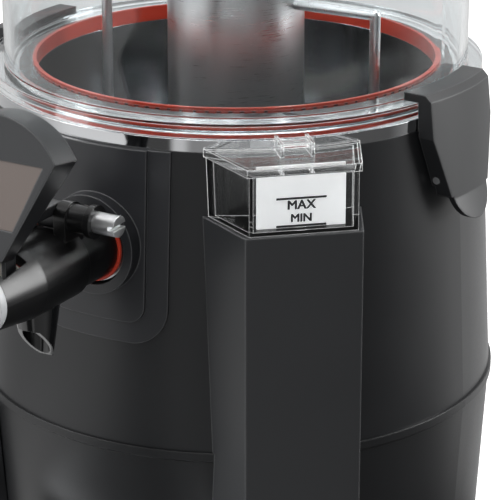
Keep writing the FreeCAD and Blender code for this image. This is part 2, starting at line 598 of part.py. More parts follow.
neck = rod("tap_neck", "neck_radius", "neck_end - neck_start", ("0", "-neck_start", TAP), FORWARD)
barrel = rod("tap_barrel", "barrel_radius", "barrel_taper_start - neck_end", ("0", "-neck_end", TAP),
             FORWARD)
nose = cone("tap_nose", "barrel_radius", "nose_radius", "barrel_end - barrel_taper_start",
            ("0", "-barrel_taper_start", TAP), FORWARD)
LUGS = {"right": ("hub_half + gap", "lug_thick", "hub_half + gap"),
        "left": ("-coil_side - lug_thick / 2", "lug_thick / 2", "-sleeve_outer")}
lug_pieces = []
for side, (low, thick, sleeve_start) in LUGS.items():
    sleeve_long = "sleeve_outer - hub_half - gap" if side == "right" else "sleeve_outer - coil_side"
    flange_start = "sleeve_outer - flange_thick" if side == "right" else "-sleeve_outer"
    lug_pieces.append(box(f"tap_lug_{side}", (low, "-pin_place - lug_long / 2", TAP),
                          (f"{low} + {thick}", "-pin_place + lug_long / 2", PIN)))
    lug_pieces.append(rod(f"tap_lug_top_{side}", "lug_long / 2", thick, (low, "-pin_place", PIN), SIDEWAYS))
    lug_pieces.append(rod(f"sleeve_{side}", "sleeve_radius", sleeve_long, (sleeve_start, "-pin_place", PIN),
                          SIDEWAYS))
    lug_pieces.append(rod(f"hub_flange_{side}", "flange_radius", "flange_thick",
                          (flange_start, "-pin_place", PIN), SIDEWAYS))
bore = rod("tap_bore_tool", "tap_bore", "barrel_end - neck_start + 4", ("0", "-neck_start + 2", TAP),
           FORWARD)
slot = box("tap_slot", ("-slot_half", "-slot_end", TAP), ("slot_half", "-slot_start",
                                                          f"{TAP} + barrel_radius + 2"))
spout_port = rod("spout_port", "spout_radius - spout_wall", "barrel_radius + 2",
                 ("0", "-spout_place", f"{TAP} - barrel_radius - 2"))
lug_bore = rod("lug_bore", "pin_radius", "2 * sleeve_outer + 2", ("-sleeve_outer - 1", "-pin_place", PIN),
               SIDEWAYS)
hub_room = rod("hub_room", "sleeve_radius + 2 * gap", "2 * (hub_half + gap)",
               ("-hub_half - gap", "-pin_place", PIN), SIDEWAYS)
coil_space = rod("coil_space", "coil_radius + coil_wire / 2 + gap", "coil_side - hub_half",
                 ("-coil_side", "-pin_place", PIN), SIDEWAYS)
tap_blank = join("tap_body_blank", neck, barrel, nose, *lug_pieces)
node("tap_body", cut("tap_body_cut", tap_blank, hub_room, coil_space, bore, slot, spout_port, lug_bore,
                     outer_ring("outer_ring_groove"), inner_ring("inner_ring_groove")))
node("tap_o_rings", group("tap_o_rings_pair", [outer_ring("outer_o_ring"), inner_ring("inner_o_ring")]))

spout_outer = cone("spout_outer", "spout_tip_radius", "spout_radius", f"{TAP} - spout_low",
                   ("0", "-spout_place", "spout_low"))
spout_bore = cone("spout_bore", "spout_tip_radius - spout_wall", "spout_radius - spout_wall",
                  f"{TAP} - spout_low",
                  ("0", "-spout_place", "spout_low"))
barrel_space = rod("barrel_space", "barrel_radius", "barrel_end - neck_start", ("0", "-neck_start", TAP),
                   FORWARD)
mouth = prism("spout_mouth", [
    ("-spout_place - spout_radius", "spout_low - 1"),
    ("-spout_place + spout_tip_radius - 1", "spout_low - 1"),
    ("-spout_place + spout_tip_radius - 1", "spout_low"),
    ("-spout_place - spout_tip_radius", "spout_low + spout_cut"),
    ("-spout_place - spout_radius", "spout_low + spout_cut + spout_wall"),
], "4 * spout_radius", "0")
mouth.Placement = FreeCAD.Placement(FreeCAD.Vector(0, 0, 0), FreeCAD.Rotation(FreeCAD.Vector(1, 1, 1), 120))
mouth.setExpression("Placement.Base.x", bound("-2 * spout_radius"))
node("spout", cut("spout_cut_away", spout_outer, spout_bore, barrel_space, mouth))

cap_disc = rod("nose_disc", "nose_radius", "nose_cap_thick", ("0", "-barrel_end", TAP), FORWARD)
cap_plug = rod("nose_plug", "tap_bore", "nose_plug_long", ("0", "-barrel_end + nose_plug_long", TAP),
               FORWARD)
node("nose_cap", join("nose_cap_join", cap_disc, cap_plug))

# Piston with its seals
HEAD_FACE = "(neck_start - head_seal_thick)"
GROOVE = "(land_start + land_groove)"
piston_body = turned("piston_body", [
    ("0", f"{HEAD_FACE} - head_thick"),
    ("head_radius", f"{HEAD_FACE} - head_thick"),
    ("head_radius", HEAD_FACE),
    ("stem_radius", HEAD_FACE),
    ("stem_radius", "land_start"),
    ("land_radius", "land_start"),
    ("land_radius", GROOVE),
    ("land_radius - land_groove", GROOVE),
    ("land_radius - land_groove", "land_end - land_groove"),
    ("land_radius", "land_end - land_groove"),
    ("land_radius", "land_end"),
    ("stem_radius", "land_end"),
    ("stem_radius", "fork_collar_start"),
    ("fork_collar_radius", "fork_collar_start"),
    ("fork_collar_radius", "fork_collar_end"),
    ("0", "fork_collar_end"),
])
node("tap_piston", place(piston_body, ("0", "0", TAP), FORWARD))
washer = turned("head_washer", [
    ("stem_radius", HEAD_FACE),
    ("head_radius", HEAD_FACE),
    ("head_radius", "neck_start"),
    ("stem_radius", "neck_start"),
])
land_ring = turned("land_ring", [
    ("land_radius - land_groove", GROOVE),
    ("tap_bore - fit / 2", GROOVE),
    ("tap_bore - fit / 2", "land_end - land_groove"),
    ("land_radius - land_groove", "land_end - land_groove"),
])
node("piston_seals", group("piston_seal_pair", [place(washer, ("0", "0", TAP), FORWARD),
                                                place(land_ring, ("0", "0", TAP), FORWARD)]))

# Lever with its badge, pin and return coil
shield = prism("shield_blank", [
    ("-shield_tip_half", "0"),
    ("shield_tip_half", "0"),
    ("shield_half", "shield_shoulder"),
    ("shield_half", "shield_tall"),
    ("-shield_half", "shield_tall"),
    ("-shield_half", "shield_shoulder"),
], "shield_thick", "-shield_thick")
arch = rod("shield_arch_disc", "shield_arch", "shield_thick",
           ("0", "shield_tall - shield_arch", "-shield_thick"))
arched = common("shield_arched", shield, arch)
back_wedge = prism("shield_wedge", [
    ("-shield_tip_thick", "-1"),
    ("-shield_thick", "shield_shoulder"),
    ("-shield_thick - 1", "shield_shoulder"),
    ("-shield_thick - 1", "-1"),
], "2 * shield_half + 2", "0")
back_wedge.Placement = FreeCAD.Placement(FreeCAD.Vector(0, 0, 0), FreeCAD.Rotation(FreeCAD.Vector(0, 1, 0),
                                                                                   -90))
back_wedge.setExpression("Placement.Base.x", bound("shield_half + 1"))


def badge_prism(name, deep, low):
    return prism(name, [
        ("-badge_low_half", "badge_low"),
        ("badge_low_half", "badge_low"),
        ("badge_high_half", "badge_high"),
        ("-badge_high_half", "badge_high"),
    ], deep, low)


def upright(item):
    """Stand a shield piece up at the lever's face, leaning back by its tilt."""
    stand = group(f"{item.Name}_upright", [item])
    lean = FreeCAD.Rotation(FreeCAD.Vector(1, 0, 0), 1)
    stand.Placement = FreeCAD.Placement(FreeCAD.Vector(0, 0, 0), lean)
    stand.setExpression("Placement.Rotation.Angle", bound("90 - shield_tilt"))
    stand.setExpression("Placement.Base.y", bound("-shield_front"))
    stand.setExpression("Placement.Base.z", bound("shield_foot"))
    return stand


badge_recess = badge_prism("badge_recess", "badge_deep + 1", "-badge_deep")
shield_body = upright(cut("shield_cut", arched, back_wedge, badge_recess))
hub = rod("lever_hub", "sleeve_radius", "2 * hub_half", ("-hub_half", "-pin_place", PIN), SIDEWAYS)
web = box("lever_web", ("-hub_half", "-shield_front + shield_tip_thick - 3", f"{PIN} + web_rise"),
          ("hub_half", "-pin_place", f"{PIN} + sleeve_radius"))
prongs = [box(f"prong_{side}", (low, "-fork_end", "fork_low"), (high, "-fork_start", "shield_foot + 6"))
          for side, low, high in (("right", "fork_gap", "fork_gap + fork_wide"),
                                  ("left", "-fork_gap - fork_wide", "-fork_gap"))]
lever_bore = rod("lever_bore", "pin_radius + fit", "2 * hub_half + 2", ("-hub_half - 1", "-pin_place", PIN),
                 SIDEWAYS)
node("tap_lever", cut("tap_lever_cut", join("tap_lever_blank", shield_body, hub, web, *prongs), lever_bore))
node("lever_badge", upright(badge_prism("badge_body", "badge_thick", "-badge_deep")))

pin_rod = rod("pin_rod", "pin_radius", "2 * pin_half", ("-pin_half", "-pin_place", PIN), SIDEWAYS)
pin_slots = [box(f"pin_slot_{side}", (low, "-pin_place - pin_radius - 1", f"{PIN} - pin_slot / 2"),
                 (high, "-pin_place + pin_radius + 1", f"{PIN} + pin_slot / 2"))
             for side, low, high in (("right", "pin_half - pin_slot_deep", "pin_half + 1"),
                                     ("left", "-pin_half - 1", "-pin_half + pin_slot_deep"))]
node("lever_pin", cut("lever_pin_cut", pin_rod, *pin_slots))

# Return coil: one wire wound round the pin between the lever's hub and the left lug
coil_room = size("coil_side") - size("hub_half") - 2 * size("gap") - 2 * size("coil_wire")
coil_pitch = coil_room / size("coil_turns")
helix = Part.makeHelix(coil_pitch, coil_pitch * size("coil_turns"), size("coil_radius"))
coil_ring = Part.Wire(Part.makeCircle(size("coil_wire") / 2, FreeCAD.Vector(size("coil_radius"), 0, 0),
                                      FreeCAD.Vector(0, 1, 0)))
coil_shape = Part.Wire(helix.Edges).makePipeShell([coil_ring], True, True)
coil = doc.addObject("Part::Feature", "return_coil_body")
coil.Shape = coil_shape
pin_height = (size("foot_high") + size("plate_thick") + size("base_high") + size("casing_high")
              + size("deck_high")
              - size("tap_drop") + size("pin_rise"))
coil_start = -size("coil_side") + size("gap") + size("coil_wire")
coil.Placement = FreeCAD.Placement(FreeCAD.Vector(coil_start, -size("pin_place"), pin_height),
                                   FreeCAD.Rotation(FreeCAD.Vector(0, 1, 0), 90))
print("return coil least gap between turns", round(coil_pitch - size("coil_wire"), 2), "mm")
node("return_coil", coil)

# Latches: a curved lever, its pin and its bracket, once on each side
LATCH_LOW = "latch_tip"
LATCH_UPPER = "(latch_out - latch_lean)"


def latch_outline(inset):
    """The latch's face: wide at the hook, narrow at the tongue."""
    tongue, wide = f"latch_tongue_half - {inset}", f"latch_half - {inset}"
    return [
        (f"-({tongue})", LATCH_LOW),
        (tongue, LATCH_LOW),
        (tongue, "latch_crease"),
        (wide, "latch_shoulder"),
        (wide, "latch_top"),
        (f"-({wide})", "latch_top"),
        (f"-({wide})", "latch_shoulder"),
        (f"-({tongue})", "latch_crease"),
    ]


def latch_pieces(side, angle):
    """The lever, pin and bracket of one side, built at the front and carried round."""
    shell_body = turned(f"latch_body_{side}", [
        ("0", LATCH_LOW),
        ("latch_out + latch_lip", LATCH_LOW),
        ("latch_out", "latch_crease"),
        (LATCH_UPPER, "latch_top - latch_slope"),
        (f"{LATCH_UPPER} - latch_slope", "latch_top"),
        ("0", "latch_top"),
    ])
    inside = turned(f"latch_inside_{side}", [
        ("0", f"{LATCH_LOW} - 1"),
        ("latch_out + latch_lip - latch_wall", f"{LATCH_LOW} - 1"),
        ("latch_out - latch_wall", "latch_crease"),
        (f"{LATCH_UPPER} - latch_wall", "latch_top - latch_hook_thick"),
        ("0", "latch_top - latch_hook_thick"),
    ])
    hook_in = rod(f"latch_hook_{side}", "latch_hook_in", "latch_top", ("0", "0", LATCH_LOW))
    flange_space = rod(f"latch_flange_{side}", "flange_out_radius + 4 * gap",
                       f"{LEDGE_TOP} + gap - latch_tip",
                       ("0", "0", LATCH_LOW))
    swing_space = rod(f"latch_swing_{side}", "casing_top_radius + latch_swing",
                      "latch_pivot_high - latch_wall - latch_tip", ("0", "0", LATCH_LOW))
    face = prism(f"latch_face_{side}", latch_outline("0"), "latch_out + 2 * latch_lip", "0")
    place(face, ("0", "0", "0"), FORWARD)
    room = prism(f"latch_room_{side}", latch_outline("latch_wall"), "latch_out + 2 * latch_lip", "0")
    place(room, ("0", "0", "0"), FORWARD)
    low_room = box(f"latch_low_{side}", ("-latch_half", "-latch_out - 2 * latch_lip", "latch_tip - 1"),
                   ("latch_half", "0", "latch_crease"))
    hollow = common(f"latch_hollow_{side}", inside, join(f"latch_rooms_{side}", room, low_room))
    tip = rod(f"latch_tip_disc_{side}", "latch_tip_round", "latch_out + 2 * latch_lip",
              ("0", "0", "latch_tip + latch_tip_round"), FORWARD)
    above = box(f"latch_above_{side}", ("-latch_half - 1", "-latch_out - 2 * latch_lip",
                                        "latch_tip + latch_tip_rise"),
                ("latch_half + 1", "0", "latch_top + 1"))
    solid = common(f"latch_solid_{side}", shell_body, face)
    rounded = common(f"latch_round_{side}", solid, join(f"latch_keep_{side}", tip, above))
    pivot = rod(f"latch_pivot_{side}", "latch_pin_radius + fit", "3 * latch_pin_half",
                ("-1.5 * latch_pin_half", "-latch_pivot_out", "latch_pivot_high"), SIDEWAYS)
    lever = cut(f"latch_lever_{side}", rounded, hollow, hook_in, flange_space, swing_space,
                drum(f"latch_drum_{side}", "3 * gap"), pivot)
    pin = rod(f"latch_pin_rod_{side}", "latch_pin_radius", "2 * latch_pin_half",
              ("-latch_pin_half", "-latch_pivot_out", "latch_pivot_high"), SIDEWAYS)
    block = box(f"bracket_block_{side}", ("-bracket_half", "-latch_pivot_out - bracket_boss", "bracket_low"),
                ("bracket_half", "-casing_top_radius / 2", "bracket_high"))
    hole = rod(f"bracket_bore_{side}", "latch_pin_radius", "2 * bracket_half + 2",
               ("-bracket_half - 1", "-latch_pivot_out", "latch_pivot_high"), SIDEWAYS)
    bracket = cut(f"bracket_cut_{side}", block, drum(f"bracket_seat_{side}", "0"), hole)
    node(f"{side}_latch", around(lever, angle))
    node(f"{side}_latch_pin", around(pin, angle))
    node(f"{side}_latch_bracket", around(bracket, angle))


latch_pieces("right", "latch_angle")
latch_pieces("left", "-latch_angle")

# Water level cup, its lid, marks, duct and tube, built at the front and carried round
def wedge_plan(front, front_half, left_half, back_half, inset):
    """The cup's plan: narrow at the front, wider at the drum, most on the tap's side."""
    return [
        (f"-({left_half} - {inset})", "-cup_back"),
        (f"-({front_half} - {inset})", f"-({front} - {inset})"),
        (f"{front_half} - {inset}", f"-({front} - {inset})"),
        (f"{back_half} - {inset}", "-cup_back"),
    ]


cup_block = prism("cup_block", wedge_plan("cup_front", "cup_front_half", "cup_left_half", "cup_back_half",
                                          "0"),
                  "cup_high - cup_low", "cup_low")
cup_space = prism("cup_space", wedge_plan("cup_front", "cup_front_half", "cup_left_half", "cup_back_half",
                                          "cup_wall"),
                  "cup_high - cup_low", "cup_low + cup_floor")
cup_hollow = cut("cup_hollow", cup_space, drum("cup_back_wall", "gap + cup_wall"))
cup_port = rod("cup_port", "tube_radius", "cup_floor + 2", ("0", "-tube_place", "cup_low - 1"))
cup_body = cut("cup_cut", cup_block, drum("cup_seat", "gap"), cup_hollow, cup_port)
node("level_cup", around(cup_body, "level_angle"))

cup_lid_plan = prism("cup_lid_plate", wedge_plan("cup_front", "cup_front_half", "cup_left_half",
                                                 "cup_back_half", "-cup_lid_over"),
                     "cup_lid_thick", "cup_high")
cup_ribs = [box(f"cup_rib_{side}", (low, "-cup_tab_back - cup_tab_long - 3", "cup_high + cup_lid_thick"),
                (high, "-cup_tab_back", "cup_high + cup_lid_thick + cup_tab_high"))
            for side, low, high in (("left", "-cup_tab_half - 1.5", "-cup_tab_half"),
                                    ("right", "cup_tab_half", "cup_tab_half + 1.5"))]
cup_grip = box("cup_grip", ("-cup_tab_half", "-cup_tab_back - cup_tab_long",
                            "cup_high + cup_lid_thick + cup_tab_high / 2"),
               ("cup_tab_half", "-cup_tab_back - cup_tab_long / 2",
                "cup_high + cup_lid_thick + cup_tab_high - 1"))
cup_lid_body = cut("cup_lid_cut", join("cup_lid_blank", cup_lid_plan, *cup_ribs, cup_grip),
                   drum("cup_lid_seat", "2 * gap"),
                   rod("cup_lid_bowl_room", "casing_top_radius + 2 * gap", "30", ("0", "0", "cup_high - 1")))
node("cup_lid", around(cup_lid_body, "level_angle"))

backing = box("level_backing", ("-level_plate_half", "-level_plate_place - level_plate_thick",
                                "cup_low + cup_floor"),
              ("level_plate_half", "-level_plate_place", "cup_high - gap"))
node("level_plate", around(backing, "level_angle"))
marks = [box(f"level_mark_{word}", ("-mark_half", "-level_plate_place - level_plate_thick - mark_thick",
                                    f"{word}_level - mark_high / 2"),
             ("mark_half", "-level_plate_place - level_plate_thick", f"{word}_level + mark_high / 2"))
         for word in ("max", "min")]
node("level_marks", around(group("level_mark_pair", marks), "level_angle"))

duct_block = prism("duct_block", wedge_plan("duct_front", "duct_front_half", "duct_left_half",
                                            "duct_back_half", "0"),
                   "cup_low - duct_low", "duct_low")
duct_space = prism("duct_space", wedge_plan("duct_front", "duct_front_half", "duct_left_half",
                                            "duct_back_half", "duct_wall"),
                   "cup_low - duct_low - duct_wall", "duct_low")
lower_side = cone("duct_lower_seat", "base_radius + gap", "drum_radius + bead_proud + gap", "base_high",
                  ("0", "0", PLATE_TOP))
duct_port = rod("duct_port", "tube_radius + gap", "duct_wall + 4", ("0", "-tube_place",
                                                                    "cup_low - duct_wall - 2"))
duct_body = cut("duct_cut", duct_block, duct_space, drum("duct_seat", "gap"), lower_side, duct_port)
node("level_duct", around(duct_body, "level_angle"))

level_run = rod("level_run", "tube_radius", "tube_place - bath_radius + steel_wall",
                ("0", "-bath_radius + steel_wall", "tube_low"), FORWARD)
level_rise = rod("level_rise", "tube_radius", "cup_low + cup_floor - tube_low", ("0", "-tube_place",
                                                                                 "tube_low"))
elbow = doc.addObject("Part::Sphere", "level_elbow")
bind(elbow, Radius="tube_radius")
place(elbow, ("0", "-tube_place", "tube_low"))
run_bore = rod("run_bore", "tube_radius - tube_wall", "tube_place - bath_radius + steel_wall + 2",
               ("0", "-bath_radius + steel_wall + 2", "tube_low"), FORWARD)
rise_bore = rod("rise_bore", "tube_radius - tube_wall", "cup_low + cup_floor - tube_low + 2",
                ("0", "-tube_place", "tube_low"))
node("level_tube", around(cut("level_tube_cut", join("level_tube_blank", level_run, level_rise, elbow),
                              run_bore,
                              rise_bore), "level_angle"))

# Control panel with its dial, rockers and lamp, built at the front and carried round
panel_plate = box("panel_block", ("-panel_half", "-panel_face", "panel_low"),
                  ("panel_half", "-base_radius + 25", "panel_low + panel_high"))
panel_space = box("panel_space", ("-panel_half + panel_wall", "-panel_face + panel_wall",
                                  "panel_low + panel_wall"),
                  ("panel_half - panel_wall", "-base_radius + 20", "panel_low + panel_high - panel_wall"))
lower_inner = cone("panel_seat", "base_radius", "drum_radius + bead_proud", "base_high",
                   ("0", "0", PLATE_TOP))
DIAL_X = "(-dial_side)"
DIAL_Z = "(panel_low + panel_high / 2)"
ROCKER_X = "(rocker_side + rocker_half)"
dial_hole = rod("dial_hole", "dial_shaft_radius + fit", "20", (DIAL_X, "-panel_face + 10", DIAL_Z), FORWARD)
rocker_low = f"({DIAL_Z} - rocker_tall / 2)"
rocker_high = f"({DIAL_Z} + rocker_tall / 2)"
rocker_holes = []
for k, word in enumerate(("heat", "mix")):
    left = f"(rocker_side - rocker_half / 2 + {k} * rocker_step)"
    rocker_holes.append(box(f"{word}_hole", (f"{left} - gap_rocker", "-panel_face - 1",
                                             f"{rocker_low} - gap_rocker"),
                            (f"{left} + 2 * rocker_half + gap_rocker", "-panel_face + 10",
                             f"{rocker_high} + gap_rocker")))
    rocker_holes.append(rod(f"{word}_pivot_hole", "rocker_pin + fit",
                            "2 * (rocker_half + rocker_pin_long + gap_rocker)",
                            (f"{left} - rocker_pin_long - gap_rocker", "-panel_face + panel_wall / 2",
                             DIAL_Z), SIDEWAYS))
LAMP_Z = f"({rocker_high} + lamp_radius + 5)"
lamp_hole = rod("lamp_hole", "lamp_radius", "20", ("rocker_side + rocker_step", "-panel_face + 10", LAMP_Z),
                FORWARD)
panel_body = cut("panel_cut", panel_plate, panel_space, lower_inner, dial_hole, lamp_hole, *rocker_holes)
node("control_panel", around(panel_body, "panel_angle"))

dial_disc = rod("dial_disc", "dial_radius", "dial_deep", (DIAL_X, "-panel_face - gap", DIAL_Z), FORWARD)
dial_stem = rod("dial_stem", "dial_shaft_radius", "panel_wall + 6", (DIAL_X, "-panel_face + panel_wall + 5",
                                                                     DIAL_Z),
                FORWARD)
dial_mark = box("dial_mark", (f"{DIAL_X} - 0.6", "-panel_face - gap - dial_deep - 1", f"{DIAL_Z} + 4"),
                (f"{DIAL_X} + 0.6", "-panel_face - gap - dial_deep + 0.8", f"{DIAL_Z} + dial_radius + 1"))
node("heat_dial", around(cut("dial_cut", join("dial_join", dial_disc, dial_stem), dial_mark), "panel_angle"))
for k, word in enumerate(("heat", "mix")):
    left = f"(rocker_side - rocker_half / 2 + {k} * rocker_step)"
    cap = box(f"{word}_rocker", (left, "-panel_face - rocker_proud", rocker_low),
              (f"{left} + 2 * rocker_half", "-panel_face + panel_wall + 1", rocker_high))
    pivot = rod(f"{word}_rocker_pin", "rocker_pin", "2 * (rocker_half + rocker_pin_long)",
                (f"{left} - rocker_pin_long", "-panel_face + panel_wall / 2", DIAL_Z), SIDEWAYS)
    node(f"{word}_switch", around(join(f"{word}_rocker_body", cap, pivot), "panel_angle"))
node("heat_lamp", around(rod("lamp_rod", "lamp_radius", "panel_wall + lamp_proud + 2",
                             ("rocker_side + rocker_step", "-panel_face + panel_wall + 2", LAMP_Z), FORWARD),
                         "panel_angle"))

# Cable gland and bath drain at the back
gland_tube = rod("gland_tube", "gland_radius", "gland_proud + 16", ("0", "-base_radius + 12",
                                                                    "gland_height"), FORWARD)
gland_collar = rod("gland_collar", "gland_radius + 3", "5", ("0", "-base_radius - 2", "gland_height"),
                   FORWARD)
gland_bore = rod("gland_bore", "gland_bore", "gland_proud + 40", ("0", "-base_radius + 20", "gland_height"),
                 FORWARD)
node("cable_gland", around(cut("gland_cut", join("gland_join", gland_tube, gland_collar), gland_bore),
                           "gland_angle"))
drain_tube = rod("drain_tube", "drain_radius", "drain_proud + 16", ("0", "-base_radius + 12",
                                                                    "drain_height"), FORWARD)
drain_head = rod("drain_head", "drain_radius + 3", "6", ("0", "-base_radius - 3", "drain_height"), FORWARD)
node("drain_plug", around(join("drain_join", drain_tube, drain_head), "drain_angle"))

# Drip tray and its grid
tray_outer = box("tray_block", ("-tray_half", "-tray_front", PLATE_TOP),
                 ("tray_half", "-tray_back", f"{PLATE_TOP} + tray_high"))
tray_inner = box("tray_space", ("-tray_half + tray_wall", "-tray_front + tray_wall",
                                f"{PLATE_TOP} + tray_wall"),
                 ("tray_half - tray_wall", "-tray_back - tray_wall", f"{PLATE_TOP} + tray_high + 1"))
ledge = f"({PLATE_TOP} + tray_high - grid_thick)"
tray_step = box("tray_step", ("-tray_half + tray_wall / 2", "-tray_front + tray_wall / 2", ledge),
                ("tray_half - tray_wall / 2", "-tray_back - tray_wall / 2", f"{PLATE_TOP} + tray_high + 1"))
node("drip_tray", cut("tray_cut", tray_outer, tray_inner, tray_step))
grid_plate = box("grid_block", ("-tray_half + tray_wall / 2 + gap", "-tray_front + tray_wall / 2 + gap",
                                ledge),
                 ("tray_half - tray_wall / 2 - gap", "-tray_back - tray_wall / 2 - gap",
                  f"{ledge} + grid_thick"))
doc.recompute()
inner_wide = 2 * (size("tray_half") - size("grid_edge"))
slots = []
slot_count = int((inner_wide + size("grid_bar")) // (size("grid_slot") + size("grid_bar")))
for k in range(slot_count):
    left = f"(({k} - ({slot_count} - 1) / 2) * (grid_slot + grid_bar) - grid_slot / 2)"
    slots.append(box(f"grid_slot_{k}", (left, "-tray_front + grid_edge + 4", f"{ledge} - 1"),
                     (f"{left} + grid_slot", "-tray_back - grid_edge - 4", f"{ledge} + grid_thick + 1")))
node("drip_grid", cut("grid_cut", grid_plate, *slots))

doc.recompute()
faults = 0
for item in doc.Objects:
    if "Invalid" in item.State or "Error" in item.State:
        print("object state", item.Name, item.State)
        faults += 1
for item in NODES:
    shape = item.Shape
    if shape.isNull() or not shape.isValid() or not shape.Solids:
        print("bad shape", item.Label)
        faults += 1
if faults:
    raise RuntimeError(f"{faults} pieces need work")
for item in NODES:
    item.Shape.exportStep(f"parts/{item.Label}.step")
print(len(NODES), "pieces written")
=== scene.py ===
"""Looks, light and camera for the hot chocolate dispenser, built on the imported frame."""

import logging
import math
from dataclasses import dataclass
from enum import Enum
from typing import Callable, Iterable, Sequence

import bmesh
import bpy
from mathutils import Matrix, Vector

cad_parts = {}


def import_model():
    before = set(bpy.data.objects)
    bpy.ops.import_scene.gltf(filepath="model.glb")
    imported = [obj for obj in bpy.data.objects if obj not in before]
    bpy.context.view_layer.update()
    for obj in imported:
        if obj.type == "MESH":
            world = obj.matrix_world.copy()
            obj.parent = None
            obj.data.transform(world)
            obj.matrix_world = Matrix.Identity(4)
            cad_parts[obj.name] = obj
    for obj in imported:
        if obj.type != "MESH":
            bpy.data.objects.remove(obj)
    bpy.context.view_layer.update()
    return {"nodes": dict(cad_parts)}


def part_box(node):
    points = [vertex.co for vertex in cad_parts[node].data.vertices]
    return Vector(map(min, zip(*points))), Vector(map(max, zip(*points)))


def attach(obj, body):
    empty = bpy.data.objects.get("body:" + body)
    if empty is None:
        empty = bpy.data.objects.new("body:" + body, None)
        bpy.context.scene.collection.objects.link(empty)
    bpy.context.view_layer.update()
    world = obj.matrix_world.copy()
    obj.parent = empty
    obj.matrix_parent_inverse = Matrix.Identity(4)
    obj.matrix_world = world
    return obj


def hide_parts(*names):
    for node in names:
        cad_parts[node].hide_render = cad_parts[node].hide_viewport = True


LOG = logging.getLogger("dispenser")
MM = 0.001
Pair = tuple[float, float]
Point = tuple[float, float, float]
Colour = tuple[float, float, float, float]
Tree = bpy.types.NodeTree
Node = bpy.types.Node
Socket = bpy.types.NodeSocket
Item = bpy.types.Object

MERGE_DISTANCE = 1e-6  # metres
SMOOTH_ANGLE = 40.0  # degrees above which an edge stays sharp
CAPITAL_SHARE = 0.72  # height of a capital letter over the font size
STROKE_SHIFTS = (-0.05, -0.02, 0.02, 0.05)  # copies that make bold strokes, over the letter height
PATCH_SCALE = 28.0  # wiped patches per metre
NOISE_SPAN: Pair = (0.1, 0.45)  # what grain times patches covers
ROUGH_SPREAD = 0.1  # change of roughness, as a share of its mean
BRUSHED_SPREAD = 0.3  # the same on brushed metal
CLEAR_RELIEF = 0.6  # strength of the relief of a clear plastic
CLEAR_HIGHLIGHT_RIM: Pair = (0.93, 0.75)  # evenness where the painted highlight on a clear edge starts, and where it is full
HIGHLIGHT_RIM: Pair = (0.99, 0.8)  # the same for the painted highlight on an edge
RIM_HIGHLIGHT_GLOW = 0.6  # painted highlight: light given off by a clear edge
WHITE: Colour = (1.0, 1.0, 1.0, 1.0)
SHADE_FACING: Pair = (0.86, 0.95)  # how far a side with painted shade and a lit main face look to the front


class Kind(Enum):
    """Families of surface, each with its own node recipe."""

    PLASTIC = "plastic"
    GLOSS = "gloss"
    RUBBER = "rubber"
    BRUSHED = "brushed"
    POLISHED = "polished"
    CLEAR = "clear"


@dataclass(frozen=True)
class Finish:
    """One surface finish.

    Args:
        name: material name.
        kind: node recipe.
        colour: sRGB hex of the surface.
        rough: mean roughness.
        grain: size of the surface texture, in millimetres.
        relief: depth of that texture, in millimetres.
        edge: radius of softened edges, in millimetres; 0 leaves them sharp.
        edge_highlight: strength of the highlight painted on the edges, 0 to 1.
        brush: stretch of a brushed grain along X, Y and Z.
        slot: record slot that the finish belongs to; not used.
        dark: sRGB hex of the painted shade on the faces turned away from the front direction, or empty.
        front: direction that the main faces look in, in the part's own frame.
        painted_glow: painted light given off, as a share of the base colour.
        milk: share of a clear plastic that scatters light, 0 to 1.
    """

    name: str
    kind: Kind
    colour: str
    rough: float
    grain: float = 1.0
    relief: float = 0.01
    edge: float = 0.6
    edge_highlight: float = 0.1
    brush: Point = (1.0, 1.0, 1.0)
    slot: str = ""
    dark: str = ""
    front: Point = (0.0, -1.0, 0.0)
    painted_glow: float = 0.0
    milk: float = 0.0


UPRIGHT: Point = (0.02, 0.02, 1.0)  # brush marks round an upright piece
LENGTHWISE: Point = (1.0, 0.02, 0.3)
TURNED: Point = (1.0, 0.03, 0.03)
ROLLED: Point = (1.0, 1.0, 0.2)

CASING = Finish("casing_satin", Kind.PLASTIC, "#17181A", 0.36, 0.8, 0.0006, 0.5, 0.08, slot="casing_black")
SHELL = Finish("shell_black", Kind.PLASTIC, "#121315", 0.4, 0.7, 0.002, 0.8, 0.08, slot="black_plastic")
TEXTURED = Finish("textured_black", Kind.PLASTIC, "#1B1C1E", 0.42, 0.5, 0.004, 1.1, 0.8, slot="black_plastic")
TRIM = Finish("trim_black", Kind.PLASTIC, "#242528", 0.36, 0.8, 0.0006, 0.9, 0.8, slot="black_plastic")
DUCT = Finish("duct_black", Kind.PLASTIC, "#2B2C2E", 0.34, 0.8, 0.0006, 1.3, 0.9, slot="black_plastic")
TAP = Finish("tap_black", Kind.PLASTIC, "#0B0B0C", 0.3, 1.2, 0.0, 0.5, 0.1, slot="gloss_black")
GLOSS = Finish("gloss_black", Kind.GLOSS, "#08090B", 0.12, 6.0, 0.004, 0.7, 0.05, slot="gloss_black")
# painted shade: the handle's sides and top get the darker colour, its lit front face the lighter one
HANDLE = Finish("handle_grey", Kind.PLASTIC, "#303133", 0.36, 0.6, 0.003, 1.2, 0.7, slot="handle_grey",
                dark="#121315", front=(0.0, -0.9903, 0.1392))
BADGE = Finish("plate_brown", Kind.PLASTIC, "#6E645F", 0.45, 0.6, 0.008, 0.3, 0.1, slot="badge_brown")
BOWL = Finish("clear_bowl", Kind.CLEAR, "#F7FAFB", 0.015, 30.0, 0.01, 0.8, slot="clear_plastic")
CUP_LID = Finish("cup_lid_clear", Kind.CLEAR, "#FCFDFD", 0.06, 20.0, 0.01, 0.8, slot="clear_lid", milk=0.04)
CUP = Finish("cup_clear", Kind.CLEAR, "#FCFDFD", 0.02, 20.0, 0.006, 0.8, slot="clear_plastic")
COVER = Finish("clear_lid", Kind.CLEAR, "#F4F7F9", 0.03, 20.0, 0.01, 0.8, slot="clear_lid")
